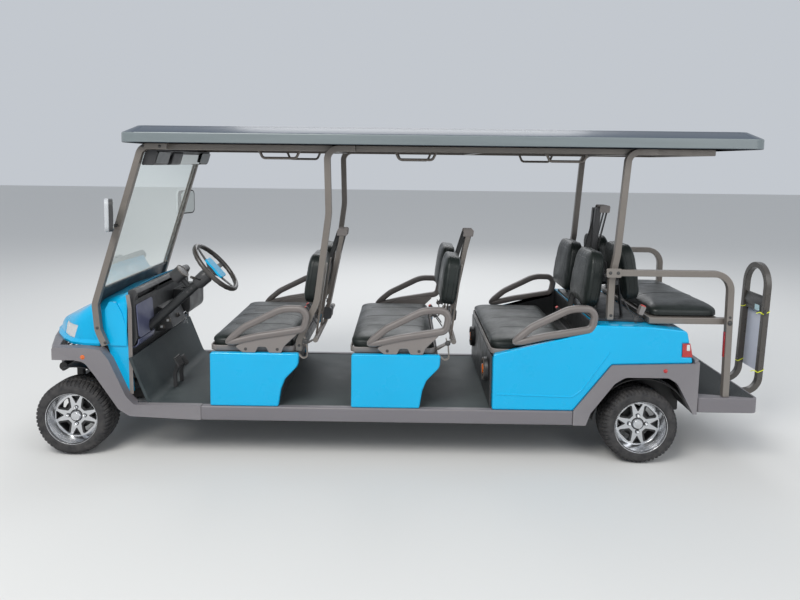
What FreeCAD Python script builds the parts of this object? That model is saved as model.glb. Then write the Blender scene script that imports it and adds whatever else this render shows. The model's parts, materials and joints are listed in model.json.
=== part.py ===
"""Eight-seat golf cart: three forward-facing rows, a rear-facing flip seat and a long roof.

Frame of the model: +X points to the rear, +Y to the cart's right side, +Z up.
The origin is on the ground, midway between the front bumper and the rear hoop.
All sizes are in millimetres. An outline given as offsets is placed by at(outline, x, z).
"""

import FreeCAD
import Part

import math
import os

V = FreeCAD.Vector

# Driving sizes along the cart
FRONT_OVERHANG = 292.0
FIRST_ROW_FROM_AXLE = 845.0
BASE_LENGTH = 535.0
LEGROOM = 313.0
BASE_TO_REAR_AXLE = 364.0
REAR_OVERHANG = 979.0

# Driving sizes across and up
BODY_HALF = 600.0
FLOOR_ABOVE_AXLE = 94.0
BASE_HEIGHT = 333.0
HEADROOM = 1243.0
FIT = 0.3

ROW_PITCH = BASE_LENGTH + LEGROOM
WHEELBASE = FIRST_ROW_FROM_AXLE + 2 * ROW_PITCH + BASE_LENGTH + BASE_TO_REAR_AXLE
FRONT_X = -(FRONT_OVERHANG + WHEELBASE + REAR_OVERHANG) / 2
REAR_X = -FRONT_X
FRONT_AXLE_X = FRONT_X + FRONT_OVERHANG
REAR_AXLE_X = FRONT_AXLE_X + WHEELBASE
ROW_X = [FRONT_AXLE_X + FIRST_ROW_FROM_AXLE + i * ROW_PITCH for i in range(3)]

# Wheels
TYRE_R = 228.0
TYRE_HALF_WIDTH = 107.5
RIM_R = 163.0
RIM_SEAT_R = 151.5
RIM_HALF_WIDTH = 100.0
RIM_WALL = 6.0
DISH_R = 131.0
DISH_FACE = 36.0
DISH_BACK = 18.0
HUB_R = 62.0
LUG_CIRCLE_R = 50.8
LUG_HOLE_R = 7.0
SPINDLE_R = 20.0
CAP_R = 31.0
DRUM_R = 92.0
DRUM_WIDTH = 44.0
WHEEL_Y = BODY_HALF - TYRE_HALF_WIDTH
AXLE_Z = TYRE_R
FLOOR_Z = AXLE_Z + FLOOR_ABOVE_AXLE
SEAT_Z = FLOOR_Z + BASE_HEIGHT

# Steering gear and suspension
KINGPIN_INSET = 92.5
KINGPIN_Y = WHEEL_Y - KINGPIN_INSET
KINGPIN_R = 14.0
SLEEVE_R = 26.0
STEER_ARM = 115.0
ARM_INSET = 35.0
ARM_THICK = 14.0
ARM_Z = AXLE_Z - 45
TIE_ROD_R = 9.0
YOKE_WIDTH = 44.0
BEAM_HALF_Y = KINGPIN_Y - 50
BEAM_DROP = 68.0
BEAM_HEIGHT = 46.0
RAIL_Y = 200.0
SPRING_HALF_LENGTH = 240.0
SPRING_LEAF = 9.0
SPRING_HALF_WIDTH = 22.0
LINER_CLEAR = 74.0
LINER_R = TYRE_R + LINER_CLEAR
LINER_WALL = 6.0
LINER_Y = KINGPIN_Y - 22
FRONT_TRIM_Y = BODY_HALF - 66
REAR_TRIM_Y = BODY_HALF - 44

# Chassis, floor and sills
RAIL_WIDTH = 50.0
RAIL_TOP = FLOOR_Z - 22
RAIL_HEIGHT = 60.0
REAR_RAIL_RISE = 90.0
CROSS_SIZE = 40.0
BUMPER_TUBE_R = 27.0
BUMPER_TUBE_Z = FLOOR_Z + 183
BUMPER_TUBE_X = FRONT_AXLE_X - 120
DECK_THICK = 18.0
DECK_HALF = BODY_HALF - 40
SILL_DROP = 82.0
SILL_WALL = 10.0
PANEL_WALL = 12.0

# Nose: heights are above the floor, places along the cart are from the front axle
BAND_LOW = 275.0
BAND_HIGH = 350.0
NOSE_REAR = 325.0
NOSE_INSET = 60.0
NOSE_LEAN = 26.0
NOSE_CROWN = 22.0
LEG_THICK = 26.0
LAMP_SKIN = 24.0

# Dashboard
DASH_END = FRONT_TRIM_Y - LEG_THICK - 2 * FIT
CUP_R = 37.0
CUP_DEPTH = 80.0
CUP_WALL = 14.0
CUP_Y = (250.0, 400.0)
CUP_TOP = FLOOR_Z + 563

# Seats
CUSHION_HALF = BODY_HALF - 55
CUSHION_THICK = 104.0
CUSHION_LENGTH = BASE_LENGTH - 35
BACK_GAP = 36.0
BACK_WIDTH = CUSHION_HALF - BACK_GAP - 59
BACK_HEIGHT = 352.0
BACK_THICK = 96.0
BACK_LEAN = 8.0
BACK_Z = SEAT_Z + 268
BACK_SETBACK = [BASE_LENGTH + behind for behind in (52.0, 47.0, 76.0)]
BACK_BAR_INSET = 110.0
TOWER_Y = 34.0
TOWER_RISE = [414.0, 419.0, 590.0]

# Roof, posts and windscreen
TUBE = 38.0
ROOF_HALF = BODY_HALF + 40
ROOF_FRONT_X = FRONT_AXLE_X + 328
ROOF_REAR_X = REAR_AXLE_X + 657
ROOF_BOTTOM = SEAT_Z + HEADROOM
ROOF_SKIRT = 59.0
ROOF_SHOULDER = 42.0
ROOF_CREASE = ROOF_BOTTOM + ROOF_SKIRT
ROOF_TOP = ROOF_CREASE + ROOF_SHOULDER
ROOF_WALL = 12.0
ROOF_INSET = 78.0
ROOF_CORNER_R = 110.0
ROOF_RAIL_Y = BODY_HALF - 115
ROOF_RAIL_Z = ROOF_BOTTOM - 20
GRIP_DROP = 42.0
GRIP_R = 8.0
POST_Y = ROOF_RAIL_Y + TUBE + FIT
STRUT_Y = BODY_HALF - 37
SCREEN_FOOT = (FRONT_AXLE_X + 157, FLOOR_Z + 631)
SCREEN_HEAD = (FRONT_AXLE_X + 454, ROOF_RAIL_Z - 6)
SCREEN_SPLIT_Z = FLOOR_Z + 704
SCREEN_BAR = 16.0
GLASS_THICK = 6.0

# Steering wheel
STEER_CENTRE = V(FRONT_AXLE_X + 805, -BODY_HALF / 2, SEAT_Z + 467)
STEER_TILT = 42.0
STEER_RING_R = 178.0
STEER_GRIP_R = 13.0
COLUMN_R = 29.0
COLUMN_LENGTH = 620.0
STEER_SHAFT_R = 11.0
GAUGE_R = 46.0

# Rear body, rear seat, step, rails and hoop
DECK_TOP = SEAT_Z + 196
REAR_BACK_X = REAR_AXLE_X - 37
REAR_BACK_RAISE = 44.0
REAR_SEAT_REACH = 540.0
GRAB_Y = POST_Y + TUBE + FIT
GRAB_Z = SEAT_Z + 508
GRAB_FRONT_X = REAR_AXLE_X - 231
GRAB_LEG_X = REAR_BACK_X + REAR_SEAT_REACH
GRAB_BEND = 100.0
PIVOT_Z = DECK_TOP + 20
PIVOT_R = 8.0
FLIP_FRAME_LENGTH = 463.0
FLIP_CUSHION_LENGTH = 424.0
FLIP_CUSHION_THICK = 90.0
REAR_PANEL_THICK = 22.0
REAR_PANEL_X = REAR_AXLE_X + 320 - REAR_PANEL_THICK
STEP_FRONT_X = REAR_PANEL_X + REAR_PANEL_THICK + 5
STEP_LENGTH = 366.0
STEP_TOP = FLOOR_Z + 97
STEP_HEIGHT = 90.0
HOOP_HALF = 135.0
HOOP_TOP = FLOOR_Z + 837
HOOP_BEND = 100.0
HOOP_LEAN = 2.5

nodes = {}


def put(name, *solids):
    """Keep the solids as one node."""
    nodes[name] = list(solids)


def mirrored(shape):
    """The same shape on the other side of the cart."""
    return shape.mirror(V(0, 0, 0), V(0, 1, 0))


def pair(name, solid):
    """A node of two equal solids, left and right."""
    put(name, solid, mirrored(solid))


def joined(shapes):
    """One solid out of overlapping shapes."""
    whole = shapes[0].multiFuse(shapes[1:]).removeSplitter()
    return whole.Solids[0] if len(whole.Solids) == 1 else whole


def biggest(shape):
    """The largest solid that a cut has left."""
    return max(shape.Solids, key=lambda solid: solid.Volume)


def box(x0, x1, y0, y1, z0, z1):
    """A block between two corners."""
    return Part.makeBox(x1 - x0, y1 - y0, z1 - z0, V(x0, y0, z0))


def rod(start, end, radius):
    """A round bar from one point to another."""
    return Part.makeCylinder(radius, (end - start).Length, start, end - start)


def at(outline, x, z):
    """An outline of offsets, placed."""
    return [(x + p[0], z + p[1], *p[2:]) for p in outline]


def corner(before, point, after, radius):
    """Tangent points and middle point of the arc that rounds one corner of an outline."""
    a = (before - point).normalize()
    b = (after - point).normalize()
    half = a.getAngle(b) / 2
    reach = radius / math.tan(half)
    centre = point + (a + b).normalize() * (radius / math.sin(half))
    middle = centre + (point - centre).normalize() * radius
    return point + a * reach, middle, point + b * reach


def rounded(points, closed=True):
    """A wire through points (position, radius): straight runs joined by tangent arcs."""
    count = len(points)
    stations = []
    for i, (position, radius) in enumerate(points):
        inside = closed or 0 < i < count - 1
        if radius and inside:
            before = points[i - 1][0]
            after = points[(i + 1) % count][0]
            stations.append(corner(before, position, after, radius))
        else:
            stations.append((position,))
    edges = []
    for i, station in enumerate(stations):
        if len(station) == 3:
            edges.append(Part.Arc(*station).toShape())
        if i < count - 1 or closed:
            start = station[-1]
            end = stations[(i + 1) % count][0]
            if (end - start).Length > 1e-6:
                edges.append(Part.LineSegment(start, end).toShape())
    return Part.Wire(edges)


PLANES = {
    "xz": (lambda a, b, c: V(a, c, b), V(0, 1, 0)),
    "xy": (lambda a, b, c: V(a, b, c), V(0, 0, 1)),
    "yz": (lambda a, b, c: V(c, a, b), V(1, 0, 0)),
}


def wire_of(plane, outline, level):
    """A closed wire in a plane. Each outline point is (a, b) or (a, b, corner radius)."""
    place = PLANES[plane][0]
    return rounded([(place(p[0], p[1], level), p[2] if len(p) > 2 else 0) for p in outline])


def slab(plane, outline, start, end):
    """An outline made solid between two distances along its plane's normal."""
    face = Part.Face(wire_of(plane, outline, start))
    return face.extrude(PLANES[plane][1] * (end - start))


def square_tube(points, across, size=TUBE):
    """A square bar along points (position, bend radius). across is its sideways direction."""
    path = rounded(points, closed=False)
    start = points[0][0]
    along = (points[1][0] - start).normalize()
    side = across * (size / 2)
    rise = along.cross(across).normalize() * (size / 2)
    corners = (side + rise, rise - side, -side - rise, side - rise)
    section = rounded([(start + c, 0) for c in corners])
    return path.makePipeShell([section], True, False)


def round_tube(points, radius):
    """A round bar along points (position, bend radius)."""
    path = rounded(points, closed=False)
    start = points[0][0]
    section = Part.Wire(Part.Circle(start, points[1][0] - start, radius).toShape())
    return path.makePipeShell([section], True, False)


def turned(outline, centre, axis):
    """A closed outline of (radius, distance along the axis) turned about that axis."""
    side = V(1, 0, 0)
    points = [(centre + side * p[0] + axis * p[1], p[2] if len(p) > 2 else 0) for p in outline]
    return Part.Face(rounded(points)).revolve(centre, axis, 360)


def polar(radius, degrees):
    """A point at a radius and an angle."""
    return radius * math.cos(math.radians(degrees)), radius * math.sin(math.radians(degrees))


# Wheels


def tyre(centre, out):
    """Low-profile tyre: a carcass with bevelled shoulders, open towards the rim."""
    width = TYRE_HALF_WIDTH
    bead = RIM_SEAT_R + FIT
    outside = [
        # radius, distance in from the side face
        (bead, 19),
        (bead + 12, 17),
        (RIM_R + 16, 0),
        (TYRE_R - 14, 4),
        (TYRE_R, 26),
    ]
    inside = [
        (TYRE_R - 12, 34),
        (TYRE_R - 34, 15),
        (bead, 33),
    ]
    near = [(r, d - width) for r, d in outside]
    far = [(r, width - d) for r, d in reversed(outside)]
    far += [(r, width - d) for r, d in reversed(inside)]
    return turned(near + far + [(r, d - width) for r, d in inside], centre, out)


def rim(centre, out):
    """Deep-dish wheel: a drop-centre barrel and a face of four forked spokes."""
    seat = RIM_SEAT_R
    edge = RIM_HALF_WIDTH
    wall = RIM_WALL
    well = DISH_R + wall + 1
    barrel = turned(
        [
            (RIM_R, edge),
            (RIM_R, edge - wall),
            (seat, edge - 8),
            (seat, edge - 44),
            (well, DISH_FACE + 4),
            (well, -20),
            (seat, 58 - edge),
            (seat, 8 - edge),
            (RIM_R, wall - edge),
            (RIM_R, -edge),
            (seat - wall + 2, -edge),
            (seat - wall, 55 - edge),
            (DISH_R, -26),
            (DISH_R, DISH_FACE),
            (seat - wall, edge - 30),
            (RIM_R - wall, edge),
        ],
        centre,
        out,
    )
    face = Part.makeCylinder(DISH_R + wall / 2, DISH_FACE - DISH_BACK, centre + out * DISH_BACK, out)
    hub = Part.makeCylinder(HUB_R, DISH_FACE - 4, centre + out * 4, out)
    cap = Part.makeCone(CAP_R, CAP_R - 6, 14, centre + out * DISH_FACE, out)
    whole = joined([barrel, face, hub, cap])
    cuts = [Part.makeCylinder(SPINDLE_R + FIT, 28, centre + out * 4, out)]
    low, high = sorted((centre.y + out.y * (DISH_BACK - 2), centre.y + out.y * (DISH_FACE + 2)))
    windows = [
        # corners (radius, degrees from the spoke), corner radius
        ([(72, 34), (125, 24), (125, 66), (72, 56)], 8),
        ([(90, 0), (123, -11), (123, 11)], 0),
    ]
    for quarter in range(4):
        heading = 90.0 * quarter
        for corners, radius in windows:
            points = [polar(r, heading + a) for r, a in corners]
            cuts.append(slab("xz", [(centre.x + a, centre.z + b, radius) for a, b in points], low, high))
        x, z = polar(LUG_CIRCLE_R, heading)
        cuts.append(Part.makeCylinder(LUG_HOLE_R, 40, centre + V(x, 0, z), out))
    return biggest(whole.cut(Part.makeCompound(cuts)).removeSplitter())


def wheels():
    """Four wheels, each a tyre and a rim."""
    for place, x in (("front", FRONT_AXLE_X), ("rear", REAR_AXLE_X)):
        for side, sign in (("left", -1), ("right", 1)):
            centre = V(x, sign * WHEEL_Y, AXLE_Z)
            out = V(0, sign, 0)
            put(f"tyre_{place}_{side}", tyre(centre, out))
            put(f"rim_{place}_{side}", rim(centre, out))


# Axles, springs and steering knuckles


def leaf_spring(x, y, middle_z, end_z):
    """An arched leaf spring along the cart, with a thicker middle."""
    half = SPRING_HALF_LENGTH
    width = SPRING_HALF_WIDTH
    rise = end_z - middle_z
    long_leaf = [
        (-half, rise),
        (-90, 0, 300),
        (90, 0, 300),
        (half, rise),
        (half, rise + SPRING_LEAF),
        (90, SPRING_LEAF, 300),
        (-90, SPRING_LEAF, 300),
        (-half, rise + SPRING_LEAF),
    ]
    leaf = slab("xz", at(long_leaf, x, middle_z), y - width, y + width)
    pack = box(x - 150, x + 150, y - width, y + width, middle_z, middle_z + 14)
    return [leaf, pack]


def front_suspension():
    """Beam axle with a yoke at each end, carried by two leaf springs."""
    x = FRONT_AXLE_X
    half = YOKE_WIDTH / 2
    beam_z = AXLE_Z - BEAM_DROP
    lug = 18.0
    top = AXLE_Z + BEAM_DROP - 2
    parts = [box(x - half, x + half, -BEAM_HALF_Y, BEAM_HALF_Y, beam_z, beam_z + BEAM_HEIGHT)]
    for sign in (-1, 1):
        y0, y1 = sorted((sign * (BEAM_HALF_Y - 25), sign * (KINGPIN_Y + 20)))
        post0, post1 = sorted((sign * (BEAM_HALF_Y - 25), sign * BEAM_HALF_Y))
        parts.append(box(x - half, x + half, y0, y1, beam_z, beam_z + lug))
        parts.append(box(x - half, x + half, y0, y1, top - lug + 2, top))
        parts.append(box(x - half, x + half, post0, post1, beam_z, top))
        parts.append(Part.makeCylinder(KINGPIN_R, top - beam_z, V(x, sign * KINGPIN_Y, beam_z), V(0, 0, 1)))
        end_z = RAIL_TOP - RAIL_HEIGHT - SPRING_LEAF - FIT
        parts += leaf_spring(x, sign * RAIL_Y, beam_z + BEAM_HEIGHT - 2, end_z)
    put("front_suspension", joined(parts))


def knuckle(sign):
    """Steering knuckle: a sleeve on the kingpin, a spindle, a brake drum and a steering arm."""
    out = V(0, sign, 0)
    pin = V(FRONT_AXLE_X, sign * KINGPIN_Y, AXLE_Z)
    wheel = V(FRONT_AXLE_X, sign * WHEEL_Y, AXLE_Z)
    sleeve = Part.makeCylinder(SLEEVE_R, 90, pin - V(0, 0, 45), V(0, 0, 1))
    stub = rod(pin, wheel + out * 30, SPINDLE_R)
    drum = Part.makeCylinder(DRUM_R, DRUM_WIDTH, wheel - out * (DRUM_WIDTH + 4), out)
    eye_at = V(FRONT_AXLE_X + STEER_ARM, sign * (KINGPIN_Y - ARM_INSET), ARM_Z)
    plan = [(pin.x, pin.y - 14), (eye_at.x, eye_at.y - 9), (eye_at.x, eye_at.y + 9), (pin.x, pin.y + 14)]
    arm = slab("xy", plan, ARM_Z, ARM_Z + ARM_THICK)
    eye = Part.makeCylinder(15, ARM_THICK, eye_at, V(0, 0, 1))
    body = joined([sleeve, stub, drum, arm, eye])
    bore = Part.makeCylinder(KINGPIN_R + FIT, 110, pin - V(0, 0, 55), V(0, 0, 1))
    return biggest(body.cut(bore))


def steering_linkage():
    """The two knuckles, and the tie rod between their arms."""
    put("knuckle_left", knuckle(-1))
    put("knuckle_right", knuckle(1))
    z = ARM_Z - FIT - TIE_ROD_R
    x = FRONT_AXLE_X + STEER_ARM
    reach = KINGPIN_Y - ARM_INSET
    parts = [rod(V(x, -reach, z), V(x, reach, z), TIE_ROD_R)]
    for sign in (-1, 1):
        parts.append(Part.makeCylinder(11, 2 * TIE_ROD_R, V(x, sign * reach, z - TIE_ROD_R), V(0, 0, 1)))
    put("tie_rod", joined(parts))


def rear_axle():
    """Live rear axle: tube, differential housing, brake drums and springs."""
    reach = WHEEL_Y - DRUM_WIDTH - 4
    tube = rod(V(REAR_AXLE_X, -reach, AXLE_Z), V(REAR_AXLE_X, reach, AXLE_Z), 34)
    housing = Part.makeSphere(DRUM_R, V(REAR_AXLE_X, 60, AXLE_Z))
    parts = [tube, housing]
    for sign in (-1, 1):
        wheel = V(REAR_AXLE_X, sign * WHEEL_Y, AXLE_Z)
        out = V(0, sign, 0)
        parts.append(Part.makeCylinder(DRUM_R, DRUM_WIDTH, wheel - out * (DRUM_WIDTH + 4), out))
        parts.append(rod(wheel - out * 6, wheel + out * 30, SPINDLE_R))
        end_z = RAIL_TOP + REAR_RAIL_RISE - RAIL_HEIGHT - SPRING_LEAF - FIT
        parts += leaf_spring(REAR_AXLE_X, sign * RAIL_Y, AXLE_Z + 30, end_z)
    put("rear_axle", joined(parts))
    motor_start = V(REAR_AXLE_X - DRUM_R - FIT, 60, AXLE_Z)
    put("drive_motor", rod(motor_start, motor_start - V(290, 0, -20), 88))


def chassis():
    """Ladder frame: two rails that rise over the rear axle, cross bars, outriggers and a bumper tube."""
    front = FRONT_AXLE_X - SPRING_HALF_LENGTH - 12
    kick = REAR_AXLE_X - 420
    rear = REAR_PANEL_X + REAR_PANEL_THICK + 5
    low, high = RAIL_TOP - RAIL_HEIGHT, RAIL_TOP
    rail = [
        (front, low),
        (kick, low),
        (kick + 70, low + REAR_RAIL_RISE),
        (rear, low + REAR_RAIL_RISE),
        (rear, high + REAR_RAIL_RISE),
        (kick + 40, high + REAR_RAIL_RISE),
        (kick - 30, high),
        (front, high),
    ]
    half = RAIL_WIDTH / 2
    parts = [slab("xz", rail, sign * RAIL_Y - half, sign * RAIL_Y + half) for sign in (-1, 1)]
    bars = [
        # front edge of a cross bar between the rails, its top
        (front, high),
        (FRONT_AXLE_X + SPRING_HALF_LENGTH - CROSS_SIZE, high),
        (rear - CROSS_SIZE, high + REAR_RAIL_RISE),
    ]
    for x, top in bars:
        parts.append(box(x, x + CROSS_SIZE, -RAIL_Y, RAIL_Y, top - RAIL_HEIGHT, top))
    reach = BODY_HALF - SILL_WALL - FIT
    top = FLOOR_Z - DECK_THICK - FIT
    for row in ROW_X:
        for x in (row + 60, row + 330):
            parts.append(box(x, x + CROSS_SIZE, -reach, reach, RAIL_TOP - CROSS_SIZE, top))
    tube_half = BODY_HALF - 170
    centre = V(BUMPER_TUBE_X, 0, BUMPER_TUBE_Z)
    parts.append(rod(centre - V(0, tube_half, 0), centre + V(0, tube_half, 0), BUMPER_TUBE_R))
    for sign in (-1, 1):
        x = BUMPER_TUBE_X
        parts.append(box(x - 20, x + 20, sign * RAIL_Y - 20, sign * RAIL_Y + 20, RAIL_TOP - 10, BUMPER_TUBE_Z))
    put("chassis_frame", joined(parts))


# Floor, sills and wheel-arch panels


def floor_and_sills():
    """Flat floor with a sloping toe board, and a channel-shaped sill along each side."""
    top = FLOOR_Z
    under = top - DECK_THICK
    toe = FRONT_AXLE_X + 470
    wall = FRONT_AXLE_X + 360
    wall_z = FLOOR_Z + 282
    deck = [
        (ROW_X[2] + 2, under),
        (ROW_X[2] + 2, top),
        (toe, top, 60),
        (wall, wall_z),
        (wall - DECK_THICK, wall_z - 4),
        (toe - 12, under, 70),
    ]
    put("floor_deck", slab("xz", deck, -DECK_HALF, DECK_HALF))
    outer = -(BODY_HALF + 4)
    inner = -(DECK_HALF + FIT)
    low = FLOOR_Z - SILL_DROP
    channel = [
        (outer, low, 8),
        (inner, low),
        (inner, low + SILL_WALL),
        (outer + SILL_WALL + 4, low + SILL_WALL),
        (outer + SILL_WALL + 4, top - 4),
        (inner, top - 4),
        (inner, top + 5),
        (outer, top + 5, 10),
    ]
    pair("sill_panels", slab("yz", channel, FRONT_AXLE_X + 790 + FIT, REAR_AXLE_X - 415 - 2 * FIT))


def liner(x, sign, outer, last):
    """A curved mud guard over one wheel: plate from 22 degrees round to a last angle."""
    sweep = (22, (22 + last) / 2, last)
    inside = [V(x + a, 0, AXLE_Z + b) for a, b in (polar(LINER_R, s) for s in sweep)]
    outside = [V(x + a, 0, AXLE_Z + b) for a, b in (polar(LINER_R + LINER_WALL, s) for s in reversed(sweep))]
    edges = [
        Part.Arc(*inside).toShape(),
        Part.LineSegment(inside[2], outside[0]).toShape(),
        Part.Arc(*outside).toShape(),
        Part.LineSegment(outside[2], inside[0]).toShape(),
    ]
    width = outer - FIT - LINER_Y
    solid = Part.Face(Part.Wire(edges)).extrude(V(0, width, 0))
    solid.translate(V(0, LINER_Y if sign > 0 else -LINER_Y - width, 0))
    return solid


def liners():
    """Mud guards over the four wheels."""
    places = (
        # axle, inner side of the trim, last angle
        (FRONT_AXLE_X, FRONT_TRIM_Y, 104),
        (REAR_AXLE_X, REAR_TRIM_Y, 158),
    )
    put("wheel_liners", *[liner(x, sign, trim, last) for x, trim, last in places for sign in (-1, 1)])


FRONT_ARCH = [
    # from the front axle, above the floor: trim from the bumper over the wheel to the sill
    (-101, 275),
    (-101, 350, 12),
    (98, 350, 30),
    (192, 340, 40),
    (240, 278),
    (339, 58),
    (388, 6, 40),
    (790, 6),
    (790, -82),
    (358, -64, 50),
    (293, -22, 40),
    (158, 178),
    (93, 264, 70),
    (28, 275, 40),
]


def bumper_plan(inset):
    """Half of the bumper's plan, from the wheel arch to the middle, drawn in by an inset."""
    outer = BODY_HALF + 5
    return [
        (FRONT_AXLE_X + 48, -outer + inset),
        (FRONT_AXLE_X - 100 + inset / 3, -outer + inset, 60 - inset / 2),
        (FRONT_AXLE_X - 218 + inset, -BODY_HALF * 0.55 + inset / 3, 200),
        (FRONT_X + inset, -BODY_HALF * 0.2, 240),
    ]


def across(half):
    """A closed outline from its left half."""
    return half + [(p[0], -p[1], *p[2:]) for p in reversed(half)]


def front_fenders():
    """Bumper that wraps the nose, with an arch trim running down to the sill on each side."""
    outer = BODY_HALF + 5
    side = slab("xz", at(FRONT_ARCH, FRONT_AXLE_X, FLOOR_Z), -outer, -FRONT_TRIM_Y)
    sill_x = FRONT_AXLE_X + 390
    side = side.cut(box(sill_x, sill_x + 500, -DECK_HALF - FIT, -FRONT_TRIM_Y + 1, 200, FLOOR_Z + 60))
    low, high = FLOOR_Z + BAND_LOW, FLOOR_Z + BAND_HIGH
    wall = outer - FRONT_TRIM_Y - 13
    inside = slab("xy", across(bumper_plan(wall)), low - 1, high + 1)
    ring = slab("xy", across(bumper_plan(0)), low, high).cut(inside)
    half = BODY_HALF * 0.44
    front = FRONT_X + 40
    plan = [(front + 36, -half), (front, -half * 0.5, 160), (front, half * 0.5, 160), (front + 36, half)]
    back = [(x + 14, y * 0.99, *r) for x, y, *r in reversed(plan)]
    fascia = slab("xy", plan + back, FLOOR_Z + 100, low + 8)
    window = box(front - 10, front + 80, -half + 50, half - 50, FLOOR_Z + 125, low - 18)
    bar_z = [FLOOR_Z + 142 + 23 * i for i in range(5)]
    bars = [box(front - 10, front + 80, -half, half, z, z + 9) for z in bar_z]
    grille = fascia.common(Part.makeCompound(bars))
    put("front_fenders", joined([side, mirrored(side), ring, fascia.cut(window)] + grille.Solids))


TRIM_EDGE = [
    # from the rear axle, above the floor: where the body meets the rear arch trim
    (-415, 7),
    (-193, 291, 20),
    (297, 306, 10),
]


def rear_fenders():
    """Arch trim over each rear wheel, joined by the panel behind the wheels."""
    outer = BODY_HALF + 10
    arch = [
        *TRIM_EDGE,
        (326, 333, 10),
        (320, -2),
        (300, -2),
        (200, 184, 60),
        (146, 218, 40),
        (-112, 218, 60),
        (-174, 178, 60),
        (-312, -6),
        (-338, -80),
        (-415, -80),
    ]
    side = slab("xz", at(arch, REAR_AXLE_X, FLOOR_Z), -outer, -REAR_TRIM_Y)
    x0, x1 = REAR_PANEL_X, REAR_PANEL_X + REAR_PANEL_THICK
    panel = box(x0, x1, -outer + 4, outer - 4, FLOOR_Z + 2, FLOOR_Z + 330)
    gap = RAIL_WIDTH / 2 + FIT
    top = RAIL_TOP + REAR_RAIL_RISE + FIT
    low = top - RAIL_HEIGHT - 2 * FIT
    slots = [box(x0 - 10, x1 + 10, s * RAIL_Y - gap, s * RAIL_Y + gap, low, top) for s in (-1, 1)]
    slots.append(box(x0 - 10, x1 + 10, -RAIL_Y, RAIL_Y, low, top))
    whole = joined([side, mirrored(side), panel])
    put("rear_fenders", biggest(whole.cut(Part.makeCompound(slots))))


# Nose and dashboard


NOSE = [
    # from the front axle, share of the body's width, top above the floor, shoulder radius
    (-262.0, 0.35, 398.0, 36.0),
    (-192.0, 0.583, 453.0, 60.0),
    (-102.0, 0.783, 492.0, 75.0),
    (-12.0, 0.925, 530.0, 85.0),
    (78.0, 0.977, 583.0, 90.0),
    (178.0, 0.995, 623.0, 90.0),
    (NOSE_REAR, 1.003, 678.0, 90.0),
]


def nose_section(dx, share, high, radius, shrink):
    """One upright section of the nose: straight sides that lean in, and a crowned top."""
    half = BODY_HALF * share - NOSE_INSET - shrink
    low = FLOOR_Z + BAND_HIGH + FIT - shrink
    top = FLOOR_Z + high - shrink
    crown = NOSE_CROWN * half / BODY_HALF
    outline = [
        (-half, low),
        (NOSE_LEAN - half, top, radius - shrink / 2),
        (0, top + crown, 1500),
        (half - NOSE_LEAN, top, radius - shrink / 2),
        (half, low),
    ]
    return wire_of("yz", outline, FRONT_AXLE_X + dx)


def nose_solid(shrink, smooth=True):
    """The nose as a solid, drawn in by shrink all round."""
    first = NOSE[0]
    sections = [nose_section(first[0] + shrink, *first[1:], shrink)]
    sections += [nose_section(*row, shrink) for row in NOSE[1:]]
    return Part.makeLoft(sections, True, not smooth)


def nose_lip():
    """Flared lip round the nose's lower edge, highest at its outer ridge."""
    low = FLOOR_Z + BAND_HIGH + FIT

    def ring(grow, z):
        """The nose's plan, grown outwards, at a height."""
        plan = [(dx - grow, NOSE_INSET - grow - BODY_HALF * share) for dx, share, *_ in NOSE[-2::-1]]
        return wire_of("xy", across(at(plan, FRONT_AXLE_X, 0)), z)

    return Part.makeLoft([ring(12, low), ring(14, low + 14), ring(-6, low + 36)], True, True)


NOSE_LEG = [
    # from the front axle, above the floor: pointed panel from the hood down to the sill
    (213, 600),
    (212, 626, 20),
    (263, 611, 30),
    (295, 556, 150),
    (323, 449, 150),
    (335, 300),
    (351, 164),
    (357, 62, 5),
    (322, 46, 5),
    (240, 229),
    (210, 345),
    (197, 475),
    (195, 571, 40),
]


def lamp_zone(grow):
    """The wedge of space that holds one headlamp, at the nose's left corner."""
    outline = [
        (FRONT_AXLE_X - 250 - grow, FLOOR_Z + 379 - grow),
        (FRONT_AXLE_X - 19 + grow, FLOOR_Z + 379 - grow),
        (FRONT_AXLE_X + 9 + grow, FLOOR_Z + 461 + grow),
        (FRONT_AXLE_X - 250 - grow, FLOOR_Z + 461 + grow),
    ]
    return slab("xz", outline, -BODY_HALF, -BODY_HALF * 0.6 + grow)


def front_cowl():
    """Body-coloured nose shell with a lip, a pointed leg down each side, and its two lamps."""
    hollow = nose_solid(PANEL_WALL, smooth=False)
    shell = joined([nose_solid(0), nose_lip()]).cut(hollow)
    outer = FRONT_TRIM_Y - FIT
    leg = slab("xz", at(NOSE_LEG, FRONT_AXLE_X, FLOOR_Z), -outer, LEG_THICK - outer)
    zones = lamp_zone(FIT).common(nose_solid(-20)).cut(nose_solid(LAMP_SKIN + FIT))
    whole = joined([shell, leg.cut(hollow), mirrored(leg.cut(hollow))])
    put("front_cowl", biggest(whole.cut(zones).cut(mirrored(zones))))
    lamp = biggest(lamp_zone(0).common(nose_solid(3)).cut(nose_solid(LAMP_SKIN)))
    pair("headlamps", lamp)


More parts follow.
